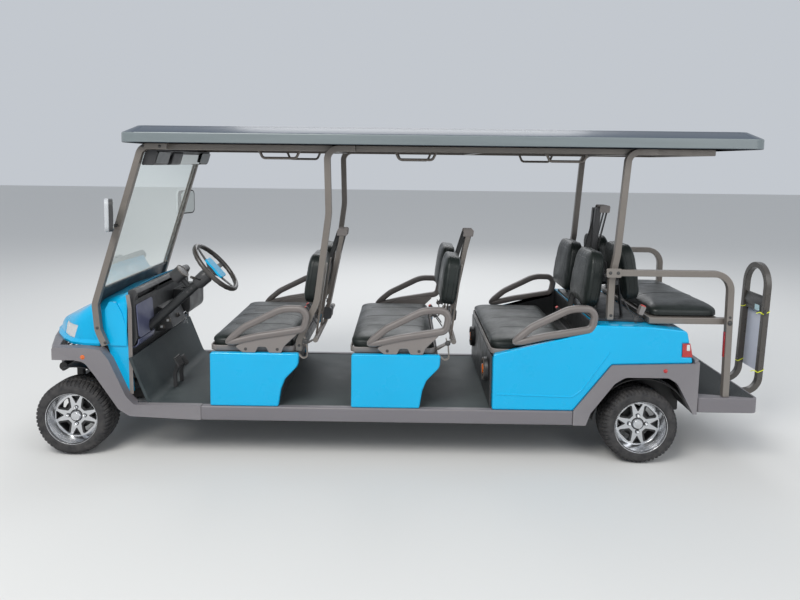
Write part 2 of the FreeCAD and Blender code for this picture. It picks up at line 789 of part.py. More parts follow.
def dashboard():
    """Moulded dashboard: a padded top, a tall fascia, a centre console and a glove box with cup bores."""
    x = FRONT_AXLE_X + NOSE_REAR + FIT
    low = FLOOR_Z + 338
    profile = [
        (0, 0),
        (0, 344, 10),
        (40, 356, 20),
        (60, 326, 8),
        (38, 275, 15),
        (54, 50, 30),
        (30, -4, 20),
    ]
    body = slab("xz", at(profile, x, low), -DASH_END, DASH_END)
    console = slab("xz", at([(20, 0), (30, 175, 20), (105, 150, 20), (150, 20, 20)], x, low), -140, 130)
    top = CUP_TOP - low
    reach = 69 + 2 * CUP_R + CUP_WALL
    glove = [(30, top), (reach, top, 10), (reach, 60, 60), (30, -2, 30)]
    parts = [body, console, slab("xz", at(glove, x, low), CUP_Y[0] - CUP_R - 34, DASH_END)]
    cuts = [box(x + 16, x + 80, y0, y1, low + 286, low + 322) for y0, y1 in ((-470, -150), (170, 470))]
    for y in CUP_Y:
        cuts.append(Part.makeCylinder(CUP_R, CUP_DEPTH, V(x + 69 + CUP_R, y, CUP_TOP - CUP_DEPTH), V(0, 0, 1)))
    put("dashboard", biggest(joined(parts).cut(Part.makeCompound(cuts))))


# Windscreen, roof and posts


def screen_x(z):
    """Where the windscreen's slope is at a height."""
    share = (z - SCREEN_FOOT[1]) / (SCREEN_HEAD[1] - SCREEN_FOOT[1])
    return SCREEN_FOOT[0] + share * (SCREEN_HEAD[0] - SCREEN_FOOT[0])


def screen_slab(z0, z1, thick, half):
    """A sloping sheet of the windscreen between two heights."""
    t = thick / 2
    outline = [
        (screen_x(z0) - t, z0),
        (screen_x(z1) - t, z1),
        (screen_x(z1) + t, z1),
        (screen_x(z0) + t, z0),
    ]
    return slab("xz", outline, -half, half)


def windscreen():
    """Two struts bent at the foot and the head, the glass, and the dark panel below it."""
    struts = []
    for sign in (-1, 1):
        y = sign * STRUT_Y
        points = [
            (V(FRONT_AXLE_X + 208, y, FLOOR_Z + BAND_HIGH + 8), 0),
            (V(FRONT_AXLE_X + 168, y, FLOOR_Z + 455), 90),
            (V(SCREEN_FOOT[0] - 2, y, SCREEN_FOOT[1] - 20), 90),
            (V(SCREEN_HEAD[0] - 2, y, ROOF_RAIL_Z), 60),
            (V(SCREEN_HEAD[0] + 150, y, ROOF_RAIL_Z), 0),
        ]
        struts.append(square_tube(points, V(0, 1, 0)))
    put("windscreen_struts", *struts)
    half = STRUT_Y - TUBE / 2 - FIT
    put("windscreen_glass", screen_slab(SCREEN_SPLIT_Z + FIT, ROOF_RAIL_Z - 24, GLASS_THICK, half))
    sheet = screen_slab(SCREEN_FOOT[1] - 50, SCREEN_SPLIT_Z, 12, half)
    bar = screen_slab(SCREEN_SPLIT_Z - SCREEN_BAR, SCREEN_SPLIT_Z, 26, half)
    put("windscreen_lower_panel", biggest(joined([sheet, bar]).cut(nose_solid(-FIT))))


def roof_outline(inset):
    """The roof's plan, drawn in by an inset."""
    x0, x1, y = ROOF_FRONT_X + inset, ROOF_REAR_X - inset, ROOF_HALF - inset
    r = max(ROOF_CORNER_R - inset / 2, 20)
    return [(x0, -y, r), (x1, -y, r), (x1, y, r), (x0, y, r)]


def roof():
    """A pan-shaped roof: upright skirt, sloping shoulder and flat top, open underneath."""
    t = ROOF_WALL
    skirt = slab("xy", roof_outline(0), ROOF_BOTTOM, ROOF_CREASE)
    outer = [wire_of("xy", roof_outline(0), ROOF_CREASE), wire_of("xy", roof_outline(ROOF_INSET), ROOF_TOP)]
    inner_skirt = slab("xy", roof_outline(t), ROOF_BOTTOM - 1, ROOF_CREASE - 2)
    inner = [
        wire_of("xy", roof_outline(t), ROOF_CREASE - 2),
        wire_of("xy", roof_outline(ROOF_INSET + t), ROOF_TOP - t),
    ]
    solid = joined([skirt, Part.makeLoft(outer, True, True)])
    put("roof_shell", biggest(solid.cut(inner_skirt).cut(Part.makeLoft(inner, True, True))))


GRIP_X = [
    # middle of each hand grip under the roof's rails
    ROW_X[0] + 403,
    ROW_X[1] + 372,
    ROW_X[2] + 424,
]
MID_POST_X = ROW_X[0] + BASE_LENGTH + 158
REAR_POST_X = REAR_AXLE_X - 117
RAIL_FRONT_X = ROOF_FRONT_X + 146
RAIL_REAR_X = ROOF_REAR_X - 254


def roof_frame():
    """Two rails under the roof, cross bars that meet the roof, and hand grips."""
    half = TUBE / 2
    parts = []
    for sign in (-1, 1):
        y = sign * ROOF_RAIL_Y
        rail_z = ROOF_RAIL_Z
        parts.append(box(RAIL_FRONT_X, RAIL_REAR_X, y - half, y + half, rail_z - half, rail_z + half))
        for x in GRIP_X:
            low = rail_z - half - GRIP_DROP
            points = [
                (V(x - 120, y, rail_z - half + 2), 0),
                (V(x - 100, y, low), 24),
                (V(x + 100, y, low), 24),
                (V(x + 120, y, rail_z - half + 2), 0),
            ]
            parts.append(round_tube(points, GRIP_R))
    stand = ROOF_TOP - ROOF_WALL - FIT
    between = (MID_POST_X + REAR_POST_X) / 2
    for x in (RAIL_FRONT_X, MID_POST_X, between, REAR_POST_X, RAIL_REAR_X - TUBE):
        parts.append(box(x, x + TUBE, -ROOF_RAIL_Y, ROOF_RAIL_Y, ROOF_RAIL_Z - half, ROOF_RAIL_Z + half))
        for y in (85 - ROOF_RAIL_Y, 0, ROOF_RAIL_Y - 85):
            parts.append(box(x, x + TUBE, y - 30, y + 30, ROOF_RAIL_Z, stand))
    put("roof_frame", joined(parts))


def roof_posts():
    """Bent square posts: one pair behind the first row, one pair behind the third."""
    solids = []
    for sign in (-1, 1):
        y = sign * POST_Y
        foot = ROW_X[0] + BASE_LENGTH - 10
        middle = [
            (V(foot, y, SEAT_Z + FIT), 0),
            (V(foot, y, SEAT_Z + 60), 40),
            (V(MID_POST_X - 58, y, SEAT_Z + 304), 200),
            (V(MID_POST_X + 11, y, SEAT_Z + 835), 300),
            (V(MID_POST_X, y, ROOF_RAIL_Z), 65),
            (V(MID_POST_X + 167, y, ROOF_RAIL_Z), 0),
        ]
        rear = [
            (V(REAR_AXLE_X - 195, y, DECK_TOP + 21), 0),
            (V(REAR_AXLE_X - 192, y, SEAT_Z + 465), 200),
            (V(REAR_AXLE_X - 164, y, SEAT_Z + 613), 200),
            (V(REAR_POST_X, y, ROOF_RAIL_Z), 65),
            (V(REAR_POST_X + 165, y, ROOF_RAIL_Z), 0),
        ]
        solids += [square_tube(middle, V(0, 1, 0)), square_tube(rear, V(0, 1, 0))]
    put("roof_posts", *solids)


# Seats


def base_outline(i, drop):
    """Side view of a seat base, set in by i and lowered by drop: its rear edge sweeps in."""
    high = BASE_HEIGHT
    return [
        (i, FIT),
        (i, high - drop, 16),
        (BASE_LENGTH - i, high - drop, 14),
        (BASE_LENGTH - 4 - i, high - 74, 60),
        (BASE_LENGTH - 83 - i, high - 158, 60),
        (BASE_LENGTH - 107 - i, high - 220, 80),
        (BASE_LENGTH - 124 - i, FIT),
    ]


def seat_bases():
    """Body-coloured side panels of the first two rows, and the dark boxes between them."""
    panels, boxes = [], []
    thick = 40.0
    reach = BODY_HALF - thick - FIT
    inner = reach - PANEL_WALL
    for x in ROW_X[:2]:
        outline = [(p[0], max(p[1], 5 + FIT), *p[2:]) for p in base_outline(0, 0)]
        panel = slab("xz", at(outline, x, FLOOR_Z), -BODY_HALF, thick - BODY_HALF)
        panels += [panel, mirrored(panel)]
        outside = slab("xz", at(base_outline(PANEL_WALL, 0), x, FLOOR_Z), -reach, reach)
        inside = slab("xz", at(base_outline(2 * PANEL_WALL, PANEL_WALL), x, FLOOR_Z), -inner, inner)
        below = box(x + 60, x + BASE_LENGTH - 155, -inner, inner, FLOOR_Z, FLOOR_Z + 60)
        boxes.append(biggest(outside.cut(inside).cut(below)))
    put("seat_side_panels", *panels)
    put("seat_boxes", *boxes)


def seat_cushions():
    """The three forward-facing bench cushions."""
    length, thick = CUSHION_LENGTH, CUSHION_THICK
    outline = [(-2, 0, 12), (4, thick, 46), (length - 2, thick, 24), (length - 2, 0, 12)]
    solids = [slab("xz", at(outline, x, SEAT_Z + FIT), -CUSHION_HALF, CUSHION_HALF) for x in ROW_X]
    put("seat_cushions", *solids)


def back_pad(x, lean, sign):
    """One padded backrest, leaning by an angle, with its lower edge's middle at x."""
    half = BACK_WIDTH / 2
    h = BACK_HEIGHT
    outline = [
        (14 - half, 0, 70),
        (half - 14, 0, 70),
        (half, h * 0.45, 300),
        (half - 46, h, 100),
        (46 - half, h, 100),
        (-half, h * 0.45, 300),
    ]
    solid = slab("yz", outline, -BACK_THICK / 2, BACK_THICK / 2)
    solid.rotate(V(0, 0, 0), V(0, 1, 0), lean)
    solid.translate(V(x, sign * (BACK_GAP + half), BACK_Z))
    return solid


def seat_backs():
    """Two backrests in each forward row, and two facing the rear."""
    rows = zip(ROW_X, BACK_SETBACK)
    put("seat_backs", *[back_pad(x + setback, BACK_LEAN, sign) for x, setback in rows for sign in (-1, 1)])
    rear = [back_pad(REAR_BACK_X, -BACK_LEAN, sign) for sign in (-1, 1)]
    for pad in rear:
        pad.translate(V(0, 0, REAR_BACK_RAISE))
    put("rear_facing_backs", *rear)


ARM_LOOP = [
    # from the row's front edge, above the base's top: outside of the loop
    (72, 42, 14),
    (186, 172, 200),
    (440, 288, 260),
    (604, 284, 62),
    (584, 128, 60),
    (270, 84, 100),
]
ARM_HOLE = [
    # its inside
    (232, 128, 10),
    (330, 208, 160),
    (452, 250, 160),
    (562, 252, 36),
    (540, 164, 36),
]
ARM_FOOT = [
    # the bracket below it, with its notch
    (150, 36),
    (196, FIT, 10),
    (272, FIT),
    (290, 34, 14),
    (336, 34, 14),
    (354, FIT),
    (428, FIT, 6),
    (446, 40, 20),
    (538, 130),
    (420, 120),
    (260, 96),
]


def armrest(x, z, bracket):
    """Moulded armrest: a closed loop that rises to the rear, with its side bracket."""
    outer, inner = -(BODY_HALF + 4), -(CUSHION_HALF + 5)
    ring = slab("xz", at(ARM_LOOP, x, z), outer, inner)
    ring = ring.cut(slab("xz", at(ARM_HOLE, x, z), outer - 1, inner + 1))
    if not bracket:
        return ring
    return joined([ring, slab("xz", at(ARM_FOOT, x, z), outer + 12, inner - 8)])


def armrests():
    """Three pairs of armrests."""
    solids = []
    for x in ROW_X[:2]:
        solid = armrest(x, SEAT_Z, True)
        solids += [solid, mirrored(solid)]
    flank = slab("xz", rear_body_outline(-FIT), -BODY_HALF - 9, -BODY_HALF / 2)
    last = biggest(armrest(ROW_X[2] + 22, SEAT_Z + 22, False).cut(flank))
    solids += [last, mirrored(last)]
    put("armrests", *solids)


def behind_pads(x, setback, rear_facing=False):
    """The line just behind a row's leaning pads, as a function of height."""
    tan = math.tan(math.radians(BACK_LEAN))
    t = BACK_THICK / 2 / math.cos(math.radians(BACK_LEAN)) + FIT
    if rear_facing:
        return lambda z: x - t - (z - BACK_Z - REAR_BACK_RAISE) * tan
    return lambda z: x + setback + t + (z - BACK_Z) * tan


PAD_BAR_Y = (BACK_GAP + BACK_BAR_INSET, BACK_GAP + BACK_WIDTH - BACK_BAR_INSET)
FRAME_REACH = POST_Y - TUBE / 2 - FIT


def back_frame(row):
    """Steel frame behind one row: cross tube, feet, pad bars and the belt towers."""
    x = ROW_X[row]
    line = behind_pads(x, BACK_SETBACK[row])
    tube_z = SEAT_Z + 60
    pad_top = BACK_Z + 247
    tower_top = BACK_Z + TOWER_RISE[row]
    ends = [V(line(tube_z) + 16, side * FRAME_REACH, tube_z) for side in (-1, 1)]
    parts = [rod(*ends, 16)]
    bar = [
        (line(tube_z - 14), tube_z - 14),
        (line(pad_top), pad_top),
        (line(pad_top) + 8, pad_top),
        (line(tube_z - 14) + 10, tube_z - 14),
    ]
    foot = [
        (line(tube_z) + 4, tube_z - 6),
        (line(tube_z) + 28, tube_z + 6),
        (x + BASE_LENGTH - 8, SEAT_Z + FIT),
        (x + BASE_LENGTH - 34, SEAT_Z + FIT),
    ]
    tower = [
        (line(tube_z) + 8, tube_z),
        (line(tower_top) + 34, tower_top),
        (line(tower_top) + 66, tower_top),
        (line(tube_z) + 30, tube_z),
    ]
    for sign in (-1, 1):
        parts += [slab("xz", bar, sign * y - 20, sign * y + 20) for y in PAD_BAR_Y]
        foot_y = sign * (CUSHION_HALF - 90)
        parts.append(slab("xz", foot, foot_y - 25, foot_y + 25))
        parts.append(slab("xz", tower, sign * TOWER_Y - 20, sign * TOWER_Y + 20))
    return joined(parts)


def back_frames():
    """The steel frames of the first two rows."""
    put("seat_back_frames", back_frame(0), back_frame(1))


# Rear body


def rear_body_outline(i):
    """Side view of the rear body, drawn in by i: it steps up behind the third row's cushion."""
    front = [
        (i, 7),
        (i, BASE_HEIGHT + 9 - i, 20),
        (98, BASE_HEIGHT + 34 - i),
        (BASE_LENGTH + 40, BASE_HEIGHT + 152 - i, 20),
        (BASE_LENGTH + 69, BASE_HEIGHT + 196 - i, 24),
    ]
    rear = [
        (31, BASE_HEIGHT + 190 - i, 60),
        (248 - i, BASE_HEIGHT + 168 - i, 30),
        (276 - i, 378, 60),
        (288 - i, 306 + FIT),
        (-193 - FIT, 291 + FIT, 20),
        (-415 - 2 * FIT, 7),
    ]
    return at(front, ROW_X[2], FLOOR_Z) + at(rear, REAR_AXLE_X, FLOOR_Z)


def tail_lamp(sign, grow):
    """Corner lamp block at one side."""
    y0, y1 = sorted((sign * (BODY_HALF + 3), sign * (BODY_HALF - 130)))
    x0 = REAR_AXLE_X + 222 - grow
    return box(x0, REAR_AXLE_X + 298, y0 - grow, y1 + grow, FLOOR_Z + 345 - grow, FLOOR_Z + 427 + grow)


def rear_body():
    """Body-coloured shell around the third row's base, open underneath."""
    x = ROW_X[2]
    w = PANEL_WALL
    well = CUSHION_HALF + 8
    well_end = x + BASE_LENGTH + 71
    solid = slab("xz", rear_body_outline(0), -BODY_HALF, BODY_HALF)
    inside = rear_body_outline(w)[1:-3]
    inside = [(x + w, FLOOR_Z - 22)] + inside + [(REAR_AXLE_X + 289 - w, FLOOR_Z - 22)]
    hollow = slab("xz", inside, -BODY_HALF + w, BODY_HALF - w)
    hollow = hollow.cut(box(x, well_end + w, -well - w, well + w, SEAT_Z - w, SEAT_Z + 345))
    shell = solid.cut(hollow).cut(box(x - 1, well_end, -well, well, SEAT_Z, SEAT_Z + 345))
    lamps = Part.makeCompound([tail_lamp(sign, FIT) for sign in (-1, 1)])
    put("rear_body", biggest(shell.cut(lamps)))
    filled = slab("xz", rear_body_outline(-2), -BODY_HALF - 2, BODY_HALF + 2)
    put("tail_lamps", *[biggest(tail_lamp(sign, 0).common(filled)) for sign in (-1, 1)])


def rear_front_panel():
    """Dark panel below the third row's cushion, with two round loudspeakers."""
    x = ROW_X[2]
    half = BODY_HALF - 42
    speaker = V(x - 6, BODY_HALF - 200, FLOOR_Z + 198)
    panel = box(x - PANEL_WALL - FIT, x - FIT, -half, half, FLOOR_Z + FIT, SEAT_Z - 6)
    centres = [V(speaker.x, sign * speaker.y, speaker.z) for sign in (-1, 1)]
    rings = [Part.makeCone(78, 70, 30, centre, V(-1, 0, 0)) for centre in centres]
    bores = [Part.makeCylinder(58, 14, centre - V(34, 0, 0), V(1, 0, 0)) for centre in centres]
    put("third_row_front_panel", biggest(joined([panel] + rings).cut(Part.makeCompound(bores))))


def rear_deck():
    """Dark cover over the rear body, the third row's back frame and the rests of the flip seat."""
    x = ROW_X[2]
    low = DECK_TOP + FIT
    end = REAR_AXLE_X + 31
    start = x + BASE_LENGTH + 81
    plate = [(start, low), (start, low + 18, 6), (end - 2, low + 12, 6), (end - 2, low - 5.6)]
    parts = [slab("xz", plate, 120 - BODY_HALF, BODY_HALF - 120)]
    slope = (190.0 - 168.0) / (248.0 - 31.0)
    rest_x = REAR_AXLE_X + 60
    on_body = lambda distance: DECK_TOP - 6 - (rest_x + distance - end) * slope + FIT
    under_frame = PIVOT_Z - TUBE / 2 - FIT
    block = [
        (rest_x, on_body(0)),
        (rest_x + 40, on_body(40)),
        (rest_x + 40, under_frame),
        (rest_x, under_frame),
    ]
    rest_y = GRAB_Y - TUBE - 24
    rests = [slab("xz", block, sign * rest_y - 10, sign * rest_y + 10) for sign in (-1, 1)]
    front = behind_pads(x, BACK_SETBACK[2])
    back = behind_pads(REAR_BACK_X, 0, rear_facing=True)
    foot_z = low + 6
    top_z = BACK_Z + 247
    cross_z = BACK_Z + 155
    tower_z = BACK_Z + TOWER_RISE[2]

    def pad_bar(line, thick):
        """Side view of a bar that follows a row of pads."""
        low_x, top_x = line(foot_z), line(top_z)
        return [(low_x, foot_z), (top_x, top_z), (top_x + thick, top_z), (low_x + thick, foot_z)]

    tower = [
        (front(foot_z) + 30, foot_z - 2),
        (front(tower_z) - 10, tower_z),
        (front(tower_z) + 26, tower_z),
        (front(foot_z) + 66, foot_z - 2),
    ]
    for sign in (-1, 1):
        for y in PAD_BAR_Y:
            y0 = sign * y
            parts.append(slab("xz", pad_bar(front, 10), y0 - 20, y0 + 20))
            parts.append(slab("xz", pad_bar(back, -10), y0 - 20, y0 + 20))
            parts.append(box(front(cross_z + 30), back(cross_z + 30), y0 - 14, y0 + 14, cross_z, cross_z + 30))
        parts.append(slab("xz", tower, sign * TOWER_Y - 20, sign * TOWER_Y + 20))
    middle = (front(cross_z) + back(cross_z)) / 2
    parts.append(box(middle - 16, middle + 16, -FRAME_REACH, FRAME_REACH, cross_z, cross_z + 30))
    put("rear_deck", joined(parts), *rests)


# Rear seat, step, rails and hoop


def grab_rails():
    """Square rails from the rear posts, back over the seat and down to the step."""
    y = -GRAB_Y
    points = [
        (V(GRAB_FRONT_X, y, GRAB_Z), 0),
        (V(GRAB_LEG_X, y, GRAB_Z), GRAB_BEND),
        (V(GRAB_LEG_X, y, STEP_TOP + FIT), 0),
    ]
    rail = square_tube(points, V(0, 1, 0))
    pin = rod(V(GRAB_LEG_X, y + 10, PIVOT_Z), V(GRAB_LEG_X, y + TUBE / 2 + 46, PIVOT_Z), PIVOT_R)
    pair("grab_rails", joined([rail, pin]))


def rear_seat():
    """Flip seat: side rails on pivots, cross bars, a pan and the cushion."""
    outer = GRAB_Y - TUBE / 2 - 5
    inner = outer - TUBE
    half = TUBE / 2
    x0, x1 = GRAB_LEG_X - FLIP_FRAME_LENGTH, GRAB_LEG_X + 26
    parts = []
    for sign in (-1, 1):
        y0, y1 = sorted((sign * outer, sign * inner))
        parts.append(box(x0, x1, y0, y1, PIVOT_Z - half, PIVOT_Z + half))
    for i in range(3):
        x = x0 + i * (FLIP_FRAME_LENGTH - 70) / 2
        parts.append(box(x, x + 30, -inner, inner, PIVOT_Z - 12, PIVOT_Z + 14))
    parts.append(box(x0, GRAB_LEG_X - 40, -inner, inner, PIVOT_Z + 12, PIVOT_Z + half))
    bore = rod(V(GRAB_LEG_X, -BODY_HALF, PIVOT_Z), V(GRAB_LEG_X, BODY_HALF, PIVOT_Z), PIVOT_R + FIT)
    put("rear_seat_frame", biggest(joined(parts).cut(bore)))
    length, thick = FLIP_CUSHION_LENGTH, FLIP_CUSHION_THICK
    outline = [(0, 0, 10), (0, thick, 34), (length - 10, thick - 4, 40), (length, 0, 10)]
    start = x0 + 16
    half_width = CUSHION_HALF - 29
    cushion = slab("xz", at(outline, start, PIVOT_Z + half + FIT), -half_width, half_width)
    put("rear_seat_cushion", cushion)


def rear_step():
    """Footplate at the rear: a tray open below, stiffened by two ribs."""
    x0, x1 = STEP_FRONT_X + FIT, STEP_FRONT_X + STEP_LENGTH
    low = STEP_TOP - STEP_HEIGHT
    y = BODY_HALF
    plan = [(x0, -y, 16), (x1, -y, 40), (x1, y, 40), (x0, y, 16)]
    w = PANEL_WALL
    inner = [(x0 + w, w - y, 10), (x1 - w, w - y, 30), (x1 - w, y - w, 30), (x0 + w, y - w, 10)]
    tray = slab("xy", plan, low, STEP_TOP).cut(slab("xy", inner, low - 1, STEP_TOP - w))
    ribs = [box(x0 + 2, x1 - 4, s * HOOP_HALF - 14, s * HOOP_HALF + 14, low, STEP_TOP - 4) for s in (-1, 1)]
    put("rear_step", joined([tray] + ribs))


def safety_hoop():
    """Hoop behind the step: two legs from under the step, bent up and joined by a round top."""
    half = TUBE / 2
    z = STEP_TOP - STEP_HEIGHT - FIT - half
    up = V(math.sin(math.radians(HOOP_LEAN)), 0, math.cos(math.radians(HOOP_LEAN)))
    top_x = REAR_X - half
    apex = V(top_x, 0, HOOP_TOP - half)
    shoulder = apex - up * HOOP_HALF
    foot = shoulder - up * ((shoulder.z - z) / up.z)
    aside = V(0, -HOOP_HALF, 0)
    start = V(STEP_FRONT_X + 60, 0, z)
    leg = rounded([(start + aside, 0), (foot + aside, HOOP_BEND), (shoulder + aside, 0)], closed=False)
    arch = Part.Arc(shoulder + aside, apex, shoulder - aside).toShape()
    path = Part.Wire(Part.__sortEdges__(leg.Edges + [arch] + mirrored(leg).Edges))
    corners = [V(0, a * half, b * half) for a, b in ((1, 1), (-1, 1), (-1, -1), (1, -1))]
    section = rounded([(start + aside + c, 0) for c in corners])
    hoop = path.makePipeShell([section], True, False)
    brace = box(start.x + 30, start.x + 60, -HOOP_HALF, HOOP_HALF, z - 12, z + 12)
    put("safety_hoop", joined([hoop, brace]))


# Controls, mirrors and heavy masses


def steer_axis():
    """Direction of the steering shaft, up towards the driver."""
    a = math.radians(STEER_TILT)
    return V(math.cos(a), 0, math.sin(a))


def steering():
    """Steering wheel with three spokes, its column, and the round gauge on the column."""
    up = steer_axis()
    centre = STEER_CENTRE
    ring = Part.makeTorus(STEER_RING_R, STEER_GRIP_R, V(0, 0, 0), V(0, 0, 1))
    hub = Part.makeCylinder(36, 52, V(0, 0, -56), V(0, 0, 1))
    plate = Part.makeCylinder(62, 16, V(0, 0, -18), V(0, 0, 1))
    spokes = []
    for angle in (0, 110, 250):
        spoke = box(40, STEER_RING_R, -15, 15, -12, -4)
        spoke.rotate(V(0, 0, 0), V(0, 0, 1), angle)
        spokes.append(spoke)
    wheel = joined([ring, hub, plate] + spokes)
    wheel = biggest(wheel.cut(Part.makeCylinder(STEER_SHAFT_R + FIT, 40, V(0, 0, -57), V(0, 0, 1))))
    wheel.Placement = FreeCAD.Placement(centre, FreeCAD.Rotation(V(0, 0, 1), up))
    put("steering_wheel", wheel)
    right = V(-up.z, 0, up.x)
    tube = rod(centre - up * 62, centre - up * COLUMN_LENGTH, COLUMN_R)
    shaft = rod(centre - up * 70, centre - up * 24, STEER_SHAFT_R)
    collar = rod(centre - up * 62, centre - up * 150, COLUMN_R + 9)
    gauge_at = centre - up * 244 + right * 122
    gauge = rod(gauge_at, gauge_at + up * 70, GAUGE_R)
    bracket = rod(centre - up * 210, centre - up * 210 + right * 100, 16)
    column = joined([tube, collar, shaft, gauge, bracket])
    put("steering_column", biggest(column.cut(nodes["dashboard"][0])))


def pedals():
    """Brake and accelerator pedals that stand on the floor in front of the toe board."""
    solids = []
    x = FRONT_AXLE_X + 546
    for y, pad_z, width in ((-250.0, 178.0, 45.0), (-130.0, 150.0, 30.0)):
        pad = [(16, pad_z - 34, 4), (-16, pad_z + 30, 4), (-25, pad_z + 26, 2), (7, pad_z - 38, 2)]
        stem = [(-10, pad_z + 4), (-42, 90, 60), (-36, FIT), (-14, FIT), (-18, 84, 50), (4, pad_z - 26)]
        parts = [slab("xz", at(pad, x, FLOOR_Z), y - width, y + width)]
        parts.append(slab("xz", at(stem, x, FLOOR_Z), y - 9, y + 9))
        solids.append(joined(parts))
    put("pedals", *solids)


def side_mirrors():
    """A mirror on a short arm at each windscreen strut."""
    arm_z = SCREEN_FOOT[1] + 455
    strut_x = screen_x(arm_z)
    head = V(strut_x - 28, -(STRUT_Y + 121), arm_z + 70)
    block = slab("yz", [(-86, -92, 34), (80, -92, 34), (80, 92, 34), (-86, 92, 34)], 0, 44)
    block.rotate(V(0, 0, 0), V(0, 0, 1), 24)
    block.translate(head)
    strut_face = STRUT_Y + TUBE / 2 + FIT
    arm = rod(V(strut_x, -STRUT_Y, arm_z), V(head.x + 22, head.y + 20, arm_z + 6), 9)
    arm = arm.cut(box(strut_x - 200, strut_x + 200, -strut_face, 0, arm_z - 100, arm_z + 100))
    pair("side_mirrors", joined([block, arm]))


def overhead_console():
    """Full-width housing under the roof's front edge, with a wide mirror right of its middle."""
    z1 = ROOF_RAIL_Z - TUBE / 2 - FIT
    z0 = z1 - 92
    half = STRUT_Y - TUBE / 2 - 3
    front = lambda z: screen_x(z) + 16
    bar = [(front(z1), z1), (front(z1) + 70, z1), (front(z1) + 56, z1 - 30, 10), (front(z1 - 36), z1 - 36)]
    parts = [slab("xz", bar, -half, half)]
    pod = [(front(z1 - 5), z1 - 5), (front(z1) + 76, z1 - 5, 14), (front(z0) + 78, z0, 18), (front(z0), z0, 8)]
    for y0, y1 in ((-half, 231 - half), (291 - half, 471 - half), (half - 171, half)):
        parts.append(slab("xz", pod, y0, y1))
    top = front(z1)
    mirror = [(top + 30, z1 - 20), (top + 60, z1 - 20), (top + 40, z0 + 2), (top + 28, z0 + 4)]
    parts.append(slab("xz", mirror, 483 - half, half - 182))
    put("overhead_console", joined(parts))


def battery():
    """Plain block at the place and size of the battery pack."""
    x = ROW_X[2]
    put("battery_pack", box(x + 60, x + 460, -150, 150, FLOOR_Z - DECK_THICK, FLOOR_Z + 278))


def main():
    os.makedirs("parts", exist_ok=True)
    wheels()
    front_suspension()
    steering_linkage()
    rear_axle()
    chassis()
    floor_and_sills()
    liners()
    front_fenders()
    rear_fenders()
    front_cowl()
    dashboard()
    windscreen()
    roof()
    roof_frame()
    roof_posts()
    seat_bases()
    seat_cushions()
    seat_backs()
    armrests()
    back_frames()
    rear_body()
    rear_front_panel()
    rear_deck()
    grab_rails()
    rear_seat()
    rear_step()
    safety_hoop()
    steering()
    pedals()
    side_mirrors()
    overhead_console()
    battery()
    for name, solids in nodes.items():
        shape = Part.makeCompound(solids) if len(solids) > 1 else solids[0]
        shape.exportStep(f"parts/{name}.step")


main()
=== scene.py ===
import json
import math

import bmesh
import bpy
import numpy as np
from mathutils import Matrix, Vector
from mathutils.bvhtree import BVHTree


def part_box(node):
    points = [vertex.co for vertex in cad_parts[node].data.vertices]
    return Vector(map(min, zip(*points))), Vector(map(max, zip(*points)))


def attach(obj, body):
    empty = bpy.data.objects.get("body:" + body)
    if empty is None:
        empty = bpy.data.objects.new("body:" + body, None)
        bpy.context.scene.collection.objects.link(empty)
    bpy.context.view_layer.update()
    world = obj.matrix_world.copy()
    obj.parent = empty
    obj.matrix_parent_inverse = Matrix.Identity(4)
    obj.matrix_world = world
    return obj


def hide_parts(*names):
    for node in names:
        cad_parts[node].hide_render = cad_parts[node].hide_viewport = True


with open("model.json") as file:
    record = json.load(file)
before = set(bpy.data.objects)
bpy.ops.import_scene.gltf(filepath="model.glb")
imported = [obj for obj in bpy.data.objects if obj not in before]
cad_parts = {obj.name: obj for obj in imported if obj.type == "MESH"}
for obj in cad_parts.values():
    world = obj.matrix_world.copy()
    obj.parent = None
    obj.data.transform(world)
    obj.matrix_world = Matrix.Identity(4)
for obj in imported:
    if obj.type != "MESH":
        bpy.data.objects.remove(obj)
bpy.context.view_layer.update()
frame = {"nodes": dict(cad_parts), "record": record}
nodes = frame["nodes"]
BODY_OF = {name: body for body, names in frame["record"]["behaviour"]["bodies"].items() for name in names}

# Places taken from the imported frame, in metres: x runs to the rear, y to the cart's right, z up
front_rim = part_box("rim_front_left")
rear_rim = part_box("rim_rear_left")
FRONT_AXLE_X = (front_rim[0][0] + front_rim[1][0]) / 2
REAR_AXLE_X = (rear_rim[0][0] + rear_rim[1][0]) / 2
AXLE_Z = (front_rim[0][2] + front_rim[1][2]) / 2
WHEEL_Y = 0.4925
FLOOR_Z = 0.322
ROW_X = [FRONT_AXLE_X + 0.845 + 0.848 * i for i in range(3)]
SEAT_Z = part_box("seat_cushions")[0][2]
BACK_Z = SEAT_Z + 0.268
BACK_X = [ROW_X[0] + 0.587, ROW_X[1] + 0.582, ROW_X[2] + 0.611]
BACK_LEAN = math.radians(8.0)
LEFT, UP, FORWARD = (0, -1, 0), (0, 0, 1), (-1, 0, 0)


# Shapes: a form is an array of points and a list of face arrays


def unit(vectors):
    """Vectors scaled to length one."""
    vectors = np.asarray(vectors, float)
    return vectors / np.linalg.norm(vectors, axis=-1, keepdims=True)


def grid(points, around=True, along=False, caps=True):
    """Quads between a grid's rows. around joins each row's ends, along joins the last row to the first."""
    rows, count = points.shape[:2]
    i = np.arange(rows if along else rows - 1)
    j = np.arange(count if around else count - 1)
    a, b = np.meshgrid(i, j, indexing="ij")
    a1, b1 = (a + 1) % rows, (b + 1) % count
    faces = [np.stack([a * count + b, a * count + b1, a1 * count + b1, a1 * count + b], -1).reshape(-1, 4)]
    if caps and around and not along:
        ring = np.arange(count)
        faces += [ring[None, ::-1], ring[None] + (rows - 1) * count]
    return points.reshape(-1, 3), faces


